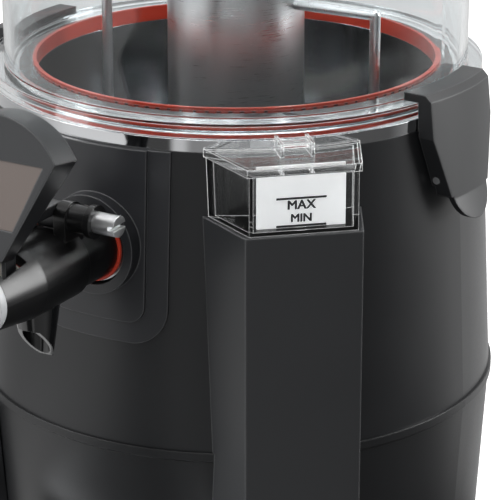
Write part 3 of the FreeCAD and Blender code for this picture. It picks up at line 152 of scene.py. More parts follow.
SEAL = Finish("silicone_red", Kind.RUBBER, "#C4351A", 0.38, 1.6, 0.006, 0.5, 0.05, slot="silicone_red")
FOOT = Finish("rubber_black", Kind.RUBBER, "#101011", 0.62, 0.8, 0.02, 0.8, 0.05, slot="rubber_black")
COLUMN = Finish("steel_turned", Kind.BRUSHED, "#E6E7E8", 0.34, 0.25, 0.002, 0.5, 0.1, UPRIGHT, "steel")
GRID = Finish("steel_lengthwise", Kind.BRUSHED, "#C2C4C6", 0.26, 0.3, 0.003, 0.4, 0.1, LENGTHWISE, "steel")
POT = Finish("steel_pot", Kind.BRUSHED, "#B9BBBD", 0.14, 0.25, 0.001, 0.5, 0.1, UPRIGHT, "steel")
PIN = Finish("steel_pin", Kind.BRUSHED, "#E0E1E2", 0.34, 0.25, 0.002, 0.5, 0.1, TURNED, "steel")
CHROME = Finish("chrome", Kind.POLISHED, "#D4D5D7", 0.07, 9.0, 0.002, 0.5, 0.05, slot="chrome")
ZINC = Finish("zinc_steel", Kind.BRUSHED, "#A9ACAF", 0.36, 1.4, 0.004, 0.4, 0.1, ROLLED, "zinc_steel")
NYLON = Finish("nylon_white", Kind.PLASTIC, "#E6E4DC", 0.42, 1.2, 0.01, 0.4, 0.02, slot="nylon_white")
# painted light: the white level plate glows to stand in for light reaching it through the clear cup
LEVEL = Finish("level_grey", Kind.PLASTIC, "#F4F5F6", 0.45, 1.0, 0.002, 0.2, 0.0, slot="level_grey", painted_glow=0.5)
INK = Finish("mark_black", Kind.PLASTIC, "#15161A", 0.6, 0.4, 0.004, 0.0, 0.0, slot="mark_black")
PRINT = Finish("mark_white", Kind.PLASTIC, "#C9CBCD", 0.6, 0.4, 0.004, 0.0, 0.0, slot="black_plastic")
AMBER = Finish("lamp_amber", Kind.GLOSS, "#C8690F", 0.15, 2.0, 0.004, 0.5, 0.0, slot="lamp_amber")
SWITCH = Finish("switch_black", Kind.GLOSS, "#0C0D10", 0.2, 2.0, 0.003, 0.6, 0.05, slot="switch_black")
TUBE = Finish("tube_milky", Kind.RUBBER, "#D9DAD6", 0.35, 2.0, 0.004, 0.3, 0.0, slot="silicone_clear")
NOSE = Finish("cap_grey", Kind.PLASTIC, "#B9BBBD", 0.34, 0.8, 0.006, 0.5, 0.05, slot="cap_grey")

NODE_FINISH: dict[str, Finish] = {
    "outer_casing": CASING, "base_shell": SHELL, "control_panel": SHELL, "level_duct": DUCT,
    "front_trim": TRIM, "outlet_plate": TRIM, "left_latch": TEXTURED, "right_latch": TEXTURED,
    "left_latch_bracket": SHELL, "right_latch_bracket": SHELL, "left_latch_pin": PIN,
    "right_latch_pin": PIN, "tap_body": TAP, "spout": GLOSS, "tap_lever": HANDLE,
    "lever_badge": BADGE, "lever_pin": PIN, "nose_cap": NOSE, "clear_bowl": BOWL, "level_cup": CUP,
    "lid": COVER, "cup_lid": CUP_LID, "lid_knob": GLOSS, "bowl_seal": SEAL, "tap_o_rings": SEAL,
    "piston_seals": SEAL, "rubber_feet": FOOT, "outlet_gasket": FOOT, "agitator_column": COLUMN,
    "product_pot": POT, "water_bath": COLUMN, "outlet_tube": COLUMN, "drive_shaft": COLUMN,
    "mixing_loops": PIN, "heater_ring": PIN, "return_coil": PIN, "agitator_nut": GLOSS,
    "scraper_blades": NYLON, "upper_bush": NYLON, "lower_bush": NYLON, "tap_piston": NYLON,
    "steel_deck": CHROME, "drain_plug": CHROME, "drip_grid": GRID, "drip_tray": SHELL,
    "base_plate": ZINC, "gear_motor": ZINC, "motor_bridge": ZINC, "shaft_coupling": ZINC,
    "safety_thermostat": ZINC, "working_thermostat": ZINC, "foot_screws": ZINC,
    "level_plate": LEVEL, "level_marks": INK, "level_tube": TUBE, "cable_gland": SHELL,
    "heat_dial": SHELL, "heat_switch": SWITCH, "mix_switch": SWITCH, "heat_lamp": AMBER,
}

KIND_INPUTS: dict[Kind, dict[str, float]] = {
    Kind.PLASTIC: {},
    Kind.CLEAR: {"IOR": 1.4},
    Kind.GLOSS: {"Coat Weight": 0.6, "Coat Roughness": 0.04, "IOR": 1.5},
    Kind.RUBBER: {"Sheen Weight": 0.12, "Sheen Roughness": 0.5, "IOR": 1.42},
    Kind.BRUSHED: {"Metallic": 1.0, "Anisotropic": 0.35},
    Kind.POLISHED: {"Metallic": 1.0},
}


def linear(colour: str) -> Colour:
    """Turn an sRGB hex colour into linear RGBA.

    Args:
        colour: "#RRGGBB".

    Returns:
        Linear red, green, blue and an alpha of 1.
    """
    parts = (int(colour[i:i + 2], 16) / 255 for i in (1, 3, 5))
    red, green, blue = (c / 12.92 if c <= 0.04045 else ((c + 0.055) / 1.055) ** 2.4 for c in parts)
    return red, green, blue, 1.0


def add(tree: Tree, kind: str, inputs: dict[str | int, object] | None = None,
        **settings: object) -> Node:
    """Add a node, set its properties, and set or link its inputs.

    Args:
        tree: node tree to add to.
        kind: node class name.
        inputs: socket name or index to a value, or to an output socket to link from.
        settings: node properties.

    Returns:
        The new node.
    """
    node = tree.nodes.new(kind)
    for key, value in settings.items():
        setattr(node, key, value)
    for key, value in (inputs or {}).items():
        if isinstance(value, Socket):
            tree.links.new(value, node.inputs[key])
        else:
            node.inputs[key].default_value = value
    return node


def times(tree: Tree, first: Socket, second: Socket | float) -> Socket:
    """Multiply two values.

    Args:
        tree: node tree.
        first: one value.
        second: the other value.

    Returns:
        Socket of the product.
    """
    return add(tree, "ShaderNodeMath", {0: first, 1: second}, operation="MULTIPLY").outputs[0]


def dot(tree: Tree, first: Socket, second: Socket | Point) -> Socket:
    """Multiply two directions.

    Args:
        tree: node tree.
        first: one direction.
        second: the other direction.

    Returns:
        Socket of the scalar product.
    """
    inputs = {0: first, 1: second}
    return add(tree, "ShaderNodeVectorMath", inputs, operation="DOT_PRODUCT").outputs["Value"]


def blend(tree: Tree, share: Socket, low: Socket | Colour, high: Socket | Colour) -> Socket:
    """Mix two colours.

    Args:
        tree: node tree.
        share: part of the second colour.
        low: first colour.
        high: second colour.

    Returns:
        Socket of the mixed colour.
    """
    return add(tree, "ShaderNodeMix", {0: share, 6: low, 7: high}, data_type="RGBA").outputs[2]


def ramp(tree: Tree, value: Socket, span: Pair, low: float = 0.0, high: float = 1.0) -> Socket:
    """Stretch a span of values to another one.

    Args:
        tree: node tree.
        value: value to stretch.
        span: values that give low and high.
        low: result at the start of the span.
        high: result at its end.

    Returns:
        Socket of the result.
    """
    return add(tree, "ShaderNodeMapRange", {"Value": value, "From Min": span[0], "From Max": span[1],
               "To Min": low, "To Max": high}).outputs["Result"]


def empty_tree(owner: bpy.types.Material | bpy.types.World) -> Tree:
    """Turn nodes on and clear them.

    Args:
        owner: the material or world.

    Returns:
        Its empty node tree.
    """
    owner.use_nodes = True
    owner.node_tree.nodes.clear()
    return owner.node_tree


def tint(base: Sequence[float], factor: float, lift: float = 0.0) -> Colour:
    """Scale and lift a linear colour.

    Args:
        base: linear colour.
        factor: scale.
        lift: amount added.

    Returns:
        The new colour, at most white.
    """
    red, green, blue = (min(1.0, factor * c + lift) for c in base[:3])
    return red, green, blue, 1.0


class Materials:
    """Builds each finish once and hands it out."""

    def __init__(self) -> None:
        self._made: dict[str, bpy.types.Material] = {}

    def get(self, finish: Finish) -> bpy.types.Material:
        """Give the material of a finish.

        Args:
            finish: the finish wanted.

        Returns:
            Its material, built on the first call.
        """
        if finish.name not in self._made:
            self._made[finish.name] = self._build(finish)
        return self._made[finish.name]

    def _build(self, finish: Finish) -> bpy.types.Material:
        """Build a finish's node tree.

        Args:
            finish: the finish.

        Returns:
            The new material.
        """
        material = bpy.data.materials.new(finish.name)
        tree = empty_tree(material)
        place = add(tree, "ShaderNodeTexCoord")
        per_grain = 1.0 / (finish.grain * MM)
        scaled = add(tree, "ShaderNodeVectorMath", {0: place.outputs["Object"],
                     1: tuple(per_grain * k for k in finish.brush)}, operation="MULTIPLY")
        grain = add(tree, "ShaderNodeTexNoise", {"Vector": scaled.outputs[0], "Scale": 1.0, "Detail": 4.0,
                    "Roughness": 0.55}).outputs["Fac"]
        patches = add(tree, "ShaderNodeTexNoise", {"Vector": place.outputs["Object"], "Scale": PATCH_SCALE,
                      "Detail": 3.0, "Roughness": 0.6}).outputs["Fac"]
        base = linear(finish.colour)
        clear = finish.kind is Kind.CLEAR
        relief = {"Strength": CLEAR_RELIEF if clear else 1.0, "Distance": finish.relief * MM, "Height": grain}
        soft = None
        if finish.edge:
            soft = add(tree, "ShaderNodeBevel", {"Radius": finish.edge * MM}, samples=4).outputs["Normal"]
            relief["Normal"] = soft
        colour = base if clear else self._colour(tree, finish, base, patches, soft)
        # painted shade: faces turned away from the front direction are painted darker
        if finish.dark:
            colour = self._paint_side_shade(tree, finish, place.outputs["Normal"], colour)
        surface = {"Base Color": colour, "Roughness": self._rough(tree, finish, grain, patches),
                   "Normal": add(tree, "ShaderNodeBump", relief).outputs["Normal"],
                   **KIND_INPUTS[finish.kind]}
        # painted light: the surface glows though it is no lamp
        if finish.painted_glow:
            surface.update({"Emission Color": base, "Emission Strength": finish.painted_glow})
        # painted highlight: clear edges give off light to stand in for bright polished edges
        if clear and soft:
            edge_glint = self._rim(tree, soft, CLEAR_HIGHLIGHT_RIM)
            surface.update({"Transmission Weight": 1.0 - finish.milk, "Emission Color": base,
                            "Emission Strength": times(tree, edge_glint, RIM_HIGHLIGHT_GLOW)})
        shader = add(tree, "ShaderNodeBsdfPrincipled", surface)
        add(tree, "ShaderNodeOutputMaterial", {"Surface": shader.outputs["BSDF"]})
        return material

    def _paint_side_shade(self, tree: Tree, finish: Finish, normal: Socket, face: Socket) -> Socket:
        """Paint shade on the faces that are turned away from the finish's front direction.

        Args:
            tree: node tree.
            finish: the finish.
            normal: direction of the surface.
            face: colour of the main, lit faces.

        Returns:
            Colour socket.
        """
        lit_share = ramp(tree, dot(tree, normal, finish.front), SHADE_FACING)
        return blend(tree, lit_share, linear(finish.dark), face)

    def _rough(self, tree: Tree, finish: Finish, grain: Socket, patches: Socket) -> Socket:
        """Vary the roughness with the grain and with wiped patches.

        Args:
            tree: node tree.
            finish: the finish.
            grain: fine noise.
            patches: broad noise.

        Returns:
            Roughness socket.
        """
        share = BRUSHED_SPREAD if finish.kind is Kind.BRUSHED else ROUGH_SPREAD
        low, high = finish.rough - share * finish.rough, finish.rough + share * finish.rough
        return ramp(tree, times(tree, grain, patches), NOISE_SPAN, low, high)

    def _colour(self, tree: Tree, finish: Finish, base: Colour, patches: Socket,
                soft: Socket | None) -> Socket:
        """Vary the colour in patches and paint a highlight on the edges.

        Args:
            tree: node tree.
            finish: the finish.
            base: linear base colour.
            patches: broad noise.
            soft: normal with softened edges, or None.

        Returns:
            Colour socket.
        """
        tone = blend(tree, patches, tint(base, 0.95), tint(base, 1.05, 0.001))
        if soft is None or finish.edge_highlight == 0:
            return tone
        # painted highlight: edges are lightened to stand in for light catching them
        edge = times(tree, self._rim(tree, soft, HIGHLIGHT_RIM), finish.edge_highlight)
        return blend(tree, edge, tone, tint(base, 1.6, 0.03 + 0.12 * finish.edge_highlight))

    def _rim(self, tree: Tree, soft: Socket, span: Pair) -> Socket:
        """Tell how near a point lies to an edge.

        Args:
            tree: node tree.
            soft: normal with softened edges.
            span: evenness at which an edge starts, and evenness of a full edge.

        Returns:
            Socket that goes from 0 on a face to 1 on an edge.
        """
        plain = add(tree, "ShaderNodeNewGeometry").outputs["Normal"]
        return ramp(tree, dot(tree, soft, plain), span)


class Shape:
    """Mesh code shared by the pieces."""

    @staticmethod
    def mesh(name: str, verts: Iterable[Sequence[float]], faces: Iterable[Sequence[int]]) -> Item:
        """Make a mesh object from points in millimetres.

        Args:
            name: object name.
            verts: points.
            faces: index lists.

        Returns:
            The object, linked to the scene.
        """
        data = bpy.data.meshes.new(name)
        data.from_pydata([tuple(c * MM for c in v) for v in verts], [], [tuple(f) for f in faces])
        work = bmesh.new()
        work.from_mesh(data)
        bmesh.ops.remove_doubles(work, verts=work.verts, dist=MERGE_DISTANCE)
        bmesh.ops.recalc_face_normals(work, faces=work.faces)
        work.to_mesh(data)
        work.free()
        item = bpy.data.objects.new(name, data)
        bpy.context.scene.collection.objects.link(item)
        return item

    @staticmethod
    def turned(name: str, profile: Sequence[Pair], at: Matrix, steps: int,
               radius_at: Callable[[float, float, float], float]) -> Item:
        """Turn a closed profile about local Z.

        Args:
            name: object name.
            profile: (radius, height) points from the axis to the axis, in millimetres.
            at: placement, in millimetres.
            steps: points round the axis.
            radius_at: radius by (plain radius, height, angle).

        Returns:
            The turned object.
        """
        verts: list[Vector] = []
        for radius, height in profile:
            for k in range(steps):
                angle = math.tau * k / steps
                reach = radius_at(radius, height, angle)
                verts.append(at @ Vector((reach * math.cos(angle), reach * math.sin(angle), height)))
        faces = [(row + k, row + (k + 1) % steps, row + steps + (k + 1) % steps, row + steps + k)
                 for row in range(0, (len(profile) - 1) * steps, steps) for k in range(steps)]
        return Shape.mesh(name, verts, faces)

    @staticmethod
    def prism(name: str, outline: Sequence[Pair], low: float, high: float, at: Matrix) -> Item:
        """Raise a plane outline into a solid.

        Args:
            name: object name.
            outline: corner points, in millimetres.
            low: start height.
            high: end height.
            at: placement, in millimetres.

        Returns:
            The solid.
        """
        count = len(outline)
        verts = [at @ Vector((x, y, z)) for z in (low, high) for x, y in outline]
        faces: list[list[int]] = [list(range(count))[::-1], list(range(count, 2 * count))]
        faces += [[k, (k + 1) % count, count + (k + 1) % count, count + k] for k in range(count)]
        return Shape.mesh(name, verts, faces)

    @staticmethod
    def bar(name: str, wide: float, low: float, high: float, thick: float, at: Matrix) -> Item:
        """Raise a flat rectangle, centred across.

        Args:
            name: object name.
            wide: width along local X, in millimetres.
            low: where it starts along local Y.
            high: where it ends along local Y.
            thick: height along local Z.
            at: placement, in millimetres.

        Returns:
            The bar.
        """
        half = wide / 2
        return Shape.prism(name, [(-half, low), (half, low), (half, high), (-half, high)], 0, thick, at)

    @staticmethod
    def bevel(item: Item, width: float, segments: int = 3, angle: float = 32.0) -> None:
        """Round a piece's edges in its mesh.

        Args:
            item: the piece.
            width: edge width, in millimetres.
            segments: facets across the edge.
            angle: least angle that counts as an edge, in degrees.
        """
        modifier = item.modifiers.new("edge", "BEVEL")
        modifier.width = width * MM
        modifier.segments = segments
        modifier.limit_method = "ANGLE"
        modifier.angle_limit = math.radians(angle)
        modifier.harden_normals = True
        Shape.apply(item)

    @staticmethod
    def apply(item: Item) -> None:
        """Keep the modified shape as the mesh and shade it smooth.

        Args:
            item: the piece.
        """
        graph = bpy.context.evaluated_depsgraph_get()
        data = bpy.data.meshes.new_from_object(item.evaluated_get(graph))
        item.modifiers.clear()
        item.data = data
        data.shade_smooth()
        data.set_sharp_from_angle(angle=math.radians(SMOOTH_ANGLE))

    @staticmethod
    def merge(name: str, items: Sequence[Item]) -> Item:
        """Join pieces into one object.

        Args:
            name: name of the result.
            items: pieces, used up.

        Returns:
            The joined piece.
        """
        work = bmesh.new()
        for item in items:
            work.from_mesh(item.data)
            bpy.data.objects.remove(item)
        data = bpy.data.meshes.new(name)
        work.to_mesh(data)
        work.free()
        result = bpy.data.objects.new(name, data)
        bpy.context.scene.collection.objects.link(result)
        return result

    @staticmethod
    def words(name: str, text: str, height: float, thick: float, at: Matrix) -> Item:
        """Make raised lettering.

        Args:
            name: object name.
            text: generic mark, such as MAX.
            height: letter size, in millimetres.
            thick: thickness, in millimetres.
            at: placement of the middle of the text, in millimetres, facing local Z.

        Returns:
            The lettering as a mesh.
        """
        curve = bpy.data.curves.new(name, "FONT")
        curve.body = text
        curve.size = height / CAPITAL_SHARE
        curve.extrude = thick / 2
        curve.align_x = "CENTER"
        curve.align_y = "CENTER"
        source = bpy.data.objects.new(f"{name}_text", curve)
        bpy.context.scene.collection.objects.link(source)
        graph = bpy.context.evaluated_depsgraph_get()
        data = bpy.data.meshes.new_from_object(source.evaluated_get(graph))
        bpy.data.objects.remove(source)
        strokes = []
        for share in STROKE_SHIFTS:
            shift = Vector((1.0, 0.3, 0.01)) * share * height
            stroke = data.copy()
            stroke.transform(Matrix.Scale(MM, 4) @ at @ Matrix.Translation(shift))
            strokes.append(bpy.data.objects.new(name, stroke))
        return Shape.merge(name, strokes)


class Repeat:
    """Geometry Nodes that set copies of a small piece round an arc."""

    @staticmethod
    def arc(item: Item, count: int, radius: float, start: float, sweep: float,
            material: bpy.types.Material) -> Item:
        """Copy a piece round local Z.

        Args:
            item: piece drawn at the origin, used up.
            count: number of copies.
            radius: radius of the arc, in millimetres.
            start: first angle, in degrees.
            sweep: angle from the first copy to the last, in degrees.
            material: finish of the copies.

        Returns:
            One mesh with every copy.
        """
        tree = bpy.data.node_groups.new("copies_round_arc", "GeometryNodeTree")
        tree.interface.new_socket("Geometry", in_out="INPUT", socket_type="NodeSocketGeometry")
        step = math.radians(sweep / (count - 1) if count > 1 else 0.0)
        values = {"Count": count, "Radius": radius * MM, "Start": math.radians(start), "Step": step,
                  "Seed": 7}
        for label, value in values.items():
            kind = "NodeSocketInt" if isinstance(value, int) else "NodeSocketFloat"
            tree.interface.new_socket(label, in_out="INPUT", socket_type=kind)
        tree.interface.new_socket("Geometry", in_out="OUTPUT", socket_type="NodeSocketGeometry")
        given = add(tree, "NodeGroupInput")
        points = add(tree, "GeometryNodePoints", {"Count": given.outputs["Count"]})
        index = add(tree, "GeometryNodeInputIndex")
        angle = add(tree, "ShaderNodeMath", {0: index.outputs[0], 1: given.outputs["Step"],
                    2: given.outputs["Start"]}, operation="MULTIPLY_ADD")
        turn = add(tree, "ShaderNodeCombineXYZ", {"Z": angle.outputs[0]})
        out = add(tree, "ShaderNodeCombineXYZ", {"X": given.outputs["Radius"]})
        spot = add(tree, "ShaderNodeVectorRotate", {"Vector": out.outputs[0], "Angle": angle.outputs[0]},
                   rotation_type="Z_AXIS")
        moved = add(tree, "GeometryNodeSetPosition", {"Geometry": points.outputs[0],
                    "Position": spot.outputs[0]})
        copies = add(tree, "GeometryNodeInstanceOnPoints", {"Points": moved.outputs[0],
                     "Instance": given.outputs["Geometry"], "Rotation": turn.outputs[0]})
        solid = add(tree, "GeometryNodeRealizeInstances", {"Geometry": copies.outputs[0]})
        dressed = add(tree, "GeometryNodeSetMaterial", {"Geometry": solid.outputs[0], "Material": material})
        add(tree, "NodeGroupOutput", {"Geometry": dressed.outputs[0]})
        modifier = item.modifiers.new("copies", "NODES")
        modifier.node_group = tree
        for socket in tree.interface.items_tree:
            if socket.in_out == "INPUT" and socket.name in values:
                modifier[socket.identifier] = values[socket.name]
        Shape.apply(item)
        return item


def around(angle: float, x: float, out: float, z: float) -> Matrix:
    """Place local X across, local Y up and local Z outward at a side of the drum.

    Args:
        angle: turn about the drum's axis from the front, in degrees.
        x: sideways offset, in millimetres.
        out: distance from the axis, in millimetres.
        z: height, in millimetres.

    Returns:
        The placement, in millimetres.
    """
    lit_share = Matrix(((1, 0, 0, x), (0, 0, -1, -out), (0, 1, 0, z), (0, 0, 0, 1)))
    return Matrix.Rotation(math.radians(angle), 4, "Z") @ lit_share


@dataclass
class Dresser:
    """Gives pieces their finish and body."""

    materials: Materials

    def nodes(self, objects: dict[str, Item]) -> None:
        """Give every CAD node its material.

        Args:
            objects: node name to object.
        """
        for name, item in objects.items():
            finish = NODE_FINISH[name]
            material = self.materials.get(finish)
            if not item.material_slots:
                item.data.materials.append(material)
            for slot in item.material_slots:
                slot.material = material

    def piece(self, item: Item, finish: Finish, body: str, replaces: Sequence[str] = ()) -> None:
        """Dress a new piece and tie it to its body.

        Args:
            item: the piece.
            finish: its finish.
            body: the CAD body that it rides on.
            replaces: CAD nodes that it stands for.
        """
        item.data.materials.clear()
        item.data.materials.append(self.materials.get(finish))
        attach(item, body)
        if replaces:
            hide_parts(*replaces)


@dataclass
class Controls:
    """Dial, rockers and tick ring of the control panel, in millimetres and degrees."""

    dresser: Dresser
    angle: float = -52.0
    face: float = 128.0
    dial_x: float = -17.0
    dial_z: float = 53.0
    dial_radius: float = 15.0
    dial_gap: float = 0.3
    dial_height: float = 13.9
    dial_steps: int = 216
    flutes: int = 18
    flute_depth: float = 0.55
    ticks: int = 28
    tick_gap: float = 1.6
    tick_sweep: float = 270.0
    rocker_x: Pair = (11.25, 28.25)
    rocker_half: float = 6.5

    def build(self) -> None:
        """Build every piece of the panel."""
        self._dial()
        self._scale()
        for name, x in zip(("heat", "mix"), self.rocker_x):
            self._rocker(f"{name}_rocker", f"{name}_switch", x)

    def _spot(self, x: float, lift: float = 0.0, rise: float = 0.0) -> Matrix:
        """Find a place on the panel.

        Args:
            x: sideways place, in millimetres.
            lift: distance in front of the face.
            rise: distance above the dial's centre line.

        Returns:
            The placement, in millimetres.
        """
        return around(self.angle, x, self.face + lift, self.dial_z + rise)

    def _dial(self) -> None:
        """Build the knob with its skirt, grip flutes and pointer line."""
        profile = [(0, 0), (13.6, 0), (self.dial_radius, 0.5), (self.dial_radius, 2.6), (14.2, 3.2),
                   (12.2, 3.8), (11.7, 5), (11.2, 12.4), (10.4, 13.4), (8.6, self.dial_height), (0, 13.6)]

        def fluted(radius: float, height: float, angle: float) -> float:
            """Draw the grip flutes.

            Args:
                radius: plain radius.
                height: height on the knob.
                angle: place round it.

            Returns:
                The radius there.
            """
            wave = 0.5 + 0.5 * math.cos(self.flutes * angle)
            return radius - (self.flute_depth * wave if 4.5 < height < 13.0 else 0.0)

        at = self._spot(self.dial_x, self.dial_gap)
        knob = Shape.turned("dial_knob", profile, at, self.dial_steps, fluted)
        Shape.bevel(knob, 0.3, 2)
        self.dresser.piece(knob, SHELL, "dial", ["heat_dial"])
        line = Shape.bar("dial_line", 1.2, 4.0, 13.2, 0.25, self._spot(self.dial_x, self.dial_height))
        self.dresser.piece(line, PRINT, "dial")

    def _scale(self) -> None:
        """Build the tick ring round the dial."""
        tick = Shape.bar("dial_ticks", 1.8, -0.22, 0.22, 0.12, Matrix())
        ring = Repeat.arc(tick, self.ticks, self.dial_radius + self.tick_gap, -180.0, self.tick_sweep,
                          self.dresser.materials.get(PRINT))
        place = self._spot(self.dial_x)
        scaled = Matrix.Translation(place.to_translation() * MM) @ place.to_3x3().to_4x4()
        ring.data.transform(scaled)
        self.dresser.piece(ring, PRINT, "machine")

    def _rocker(self, body: str, node: str, x: float) -> None:
        """Build one rocker cap with its mark.

        Args:
            body: body of the rocker.
            node: CAD node that it stands for.
            x: sideways place on the panel.
        """
        side = [(-9.5, -3.4), (9.5, -3.4), (9.5, 0.9), (9.1, 2.4), (7.6, 2.3), (3.6, 1.2), (0.0, 0.75),
                (-3.6, 0.6), (-7.6, 0.7), (-9.1, 0.6), (-9.5, 0.1)]
        upright = Matrix(((0, 0, 1, 0), (1, 0, 0, 0), (0, 1, 0, 0), (0, 0, 0, 1)))
        cap = Shape.prism(f"{node}_cap", side, -self.rocker_half, self.rocker_half, self._spot(x) @ upright)
        Shape.bevel(cap, 0.5, 3)
        self.dresser.piece(cap, SWITCH, body, [node])
        mark = Shape.bar(f"{node}_on", 0.7, -1.9, 1.9, 0.2, self._spot(x, 1.62, 5.4))
        self.dresser.piece(mark, PRINT, body)


@dataclass
class LevelCup:
    """Printed words of the water level cup, each with its height on the machine and its size."""

    dresser: Dresser
    angle: float = 42.5
    plate: float = 138.7
    thick: float = 0.3
    words: tuple[tuple[str, float, float], ...] = (("MAX", 213.8, 4.2), ("MIN", 207.9, 3.8))

    def build(self) -> None:
        """Build the two words beside the level lines."""
        for text, z, size in self.words:
            at = around(self.angle, 0.0, self.plate + self.thick / 2, z)
            item = Shape.words(f"word_{text.lower()}", text, size, self.thick, at)
            self.dresser.piece(item, INK, "machine")


@dataclass
class Cover:
    """Grip knob of the bowl's lid."""

    dresser: Dresser
    steps: int = 180
    flutes: int = 10
    flute_depth: float = 0.9
    flute_foot: float = 12.0

    def build(self) -> None:
        """Build the knob with a waist, a soft crown and finger flutes."""
        low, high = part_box("lid_knob")
        base, top = low[2] / MM, high[2] / MM
        tall = top - base
        profile = [(0, 0), (12.5, 0), (13.2, 0.6), (11.8, 1.8), (10.6, 4.5), (10.6, 7.5), (12.5, 10.0),
                   (18.2, 12.2), (20.4, 14.4), (21, 17.0), (21, tall - 6), (20.3, tall - 3),
                   (18.0, tall - 1.0), (13.5, tall - 0.15), (6, tall), (0, tall)]

        def fluted(radius: float, height: float, angle: float) -> float:
            """Draw the finger flutes.

            Args:
                radius: plain radius.
                height: height on the knob.
                angle: place round it.

            Returns:
                The radius there.
            """
            reach = max(0.0, min(1.0, (height - self.flute_foot) / 4, (tall - 2 - height) / 4))
            return radius - self.flute_depth * reach * (0.5 + 0.5 * math.cos(self.flutes * angle)) ** 3

        knob = Shape.turned("lid_grip", profile, Matrix.Translation((0, 0, base)), self.steps, fluted)
        Shape.bevel(knob, 0.2, 2, 50)
        self.dresser.piece(knob, GLOSS, "cover", ["lid_knob"])


@dataclass(frozen=True)
class SoftBox:
    """One soft box.

    Args:
        name: lamp name.
        place: where it hangs, in metres.
        wide: width, in metres.
        high: height, in metres.
        power: power, in watts.
    """

    name: str
    place: Point
    wide: float
    high: float
    power: float


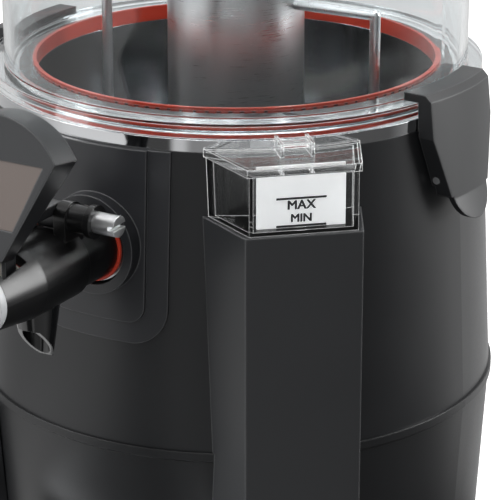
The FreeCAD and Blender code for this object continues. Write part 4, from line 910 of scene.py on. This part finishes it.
@dataclass
class Studio:
    """Floor, world, lamps and camera, in metres and degrees."""

    screens: tuple[Pair, ...] = (
        (-120, 0.8), (-70, 0.5), (-45, 1.0), (-17, 1.0), (-13, 0.08), (3, 0.08), (5, 0.8), (9, 0.8),
        (12, 0.35), (50, 0.4), (70, 0.12), (100, 0.12), (115, 0.4), (130, 1.0))
    boxes: tuple[SoftBox, ...] = (
        SoftBox("top_box", (0.0, 0.3, 1.9), 1.3, 0.8, 24.0),
        SoftBox("fore_box", (-0.1, -0.9, 1.7), 1.0, 0.6, 9.0),
        SoftBox("left_box", (-1.4, -1.0, 1.1), 0.7, 1.4, 15.0),
        SoftBox("right_box", (1.4, 0.8, 0.8), 0.6, 1.4, 26.0),
        SoftBox("front_box", (0.75, -1.9, 1.25), 0.9, 0.6, 7.0))
    lamp_aim: Point = (0.0, -0.05, 0.22)
    floor_half: float = 3000.0  # millimetres
    floor_glow: float = 0.45
    floor_mirror: float = 0.85
    lens: float = 171.8  # millimetres
    sensor: float = 36.0  # millimetres
    camera_place: Point = (0.5665, -0.9429, 0.5455)
    camera_tilt: float = 69.92
    camera_turn: float = 30.65

    def build(self) -> None:
        """Build the whole studio."""
        self._world()
        self._floor()
        self._lamps()
        self._camera()

    def _panels(self, tree: Tree, way: Socket) -> Socket:
        """Give the room's brightness by direction: pale screens with dark gaps between them.

        Args:
            tree: node tree.
            way: direction from the machine.

        Returns:
            Brightness socket.
        """
        parts = add(tree, "ShaderNodeSeparateXYZ", {0: way})
        ahead = times(tree, parts.outputs["Y"], -1.0)
        angle = add(tree, "ShaderNodeMath", {0: parts.outputs["X"], 1: ahead}, operation="ARCTAN2")
        share = ramp(tree, angle.outputs[0], (-math.pi, math.pi))
        levels = add(tree, "ShaderNodeValToRGB", {0: share})
        stops = levels.color_ramp.elements
        stops[0].position, stops[1].position = 0.0, 1.0
        stops[0].color = stops[1].color = WHITE
        for degrees, level in self.screens:
            stop = stops.new((degrees + 180.0) / 360.0)
            stop.color = (level, level, level, 1.0)
        return levels.outputs["Color"]

    def _world(self) -> None:
        """Set a world that is white to the camera, with screens and dark gaps to the machine."""
        world = bpy.data.worlds.new("studio")
        bpy.context.scene.world = world
        tree = empty_tree(world)
        way = add(tree, "ShaderNodeTexCoord")
        room = self._panels(tree, way.outputs["Generated"])
        path = add(tree, "ShaderNodeLightPath")
        level = add(tree, "ShaderNodeMath", {0: room, 1: path.outputs["Is Camera Ray"]}, operation="MAXIMUM")
        light = add(tree, "ShaderNodeBackground", {"Color": WHITE, "Strength": level.outputs[0]})
        add(tree, "ShaderNodeOutputWorld", {"Surface": light.outputs[0]})

    def _floor(self) -> None:
        """Plain pale floor, whose mirror image in the machine is the room's screens."""
        half = self.floor_half
        corners = [(-half, -half, 0), (half, -half, 0), (half, half, 0), (-half, half, 0)]
        floor = Shape.mesh("floor", corners, [(0, 1, 2, 3)])
        material = bpy.data.materials.new("floor_pale")
        tree = empty_tree(material)
        place = add(tree, "ShaderNodeTexCoord").outputs["Object"]
        cloud = add(tree, "ShaderNodeTexNoise", {"Vector": place, "Scale": 3.0, "Detail": 2.0})
        tone = blend(tree, cloud.outputs["Fac"], tint(WHITE, 0.9), tint(WHITE, 0.94))
        pale = add(tree, "ShaderNodeBsdfPrincipled", {"Base Color": tone, "Roughness": 0.6,
                   "Emission Color": WHITE, "Emission Strength": self.floor_glow})
        mirrored = add(tree, "ShaderNodeEmission", {"Color": self._panels(tree, place),
                       "Strength": self.floor_mirror})
        path = add(tree, "ShaderNodeLightPath")
        shader = add(tree, "ShaderNodeMixShader", {0: path.outputs["Is Camera Ray"],
                     1: mirrored.outputs[0], 2: pale.outputs["BSDF"]})
        add(tree, "ShaderNodeOutputMaterial", {"Surface": shader.outputs[0]})
        floor.data.materials.append(material)

    def _lamps(self) -> None:
        """Hang the soft boxes and turn them to the machine."""
        for box in self.boxes:
            data = bpy.data.lights.new(box.name, "AREA")
            data.shape = "RECTANGLE"
            data.size, data.size_y, data.energy = box.wide, box.high, box.power
            lamp = bpy.data.objects.new(box.name, data)
            lamp.location = box.place
            aim = Vector(self.lamp_aim) - Vector(box.place)
            lamp.rotation_euler = aim.to_track_quat("-Z", "Y").to_euler()
            bpy.context.scene.collection.objects.link(lamp)

    def _camera(self) -> None:
        """Set the photograph's viewpoint."""
        data = bpy.data.cameras.new("camera")
        data.lens, data.sensor_width = self.lens, self.sensor
        camera = bpy.data.objects.new("camera", data)
        camera.location = self.camera_place
        camera.rotation_euler = (math.radians(self.camera_tilt), 0.0, math.radians(self.camera_turn))
        bpy.context.scene.collection.objects.link(camera)
        bpy.context.scene.camera = camera


def main() -> None:
    """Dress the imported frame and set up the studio."""
    logging.basicConfig(level=logging.INFO, format="%(name)s: %(message)s")
    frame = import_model()
    bpy.context.scene.view_settings.view_transform = "Standard"
    dresser = Dresser(Materials())
    dresser.nodes(frame["nodes"])
    LOG.info("%d CAD nodes dressed", len(frame["nodes"]))
    for builder in (Controls(dresser), LevelCup(dresser), Cover(dresser)):
        builder.build()
        LOG.info("%s built", type(builder).__name__)
    Studio().build()


if __name__ == "__main__":
    main()
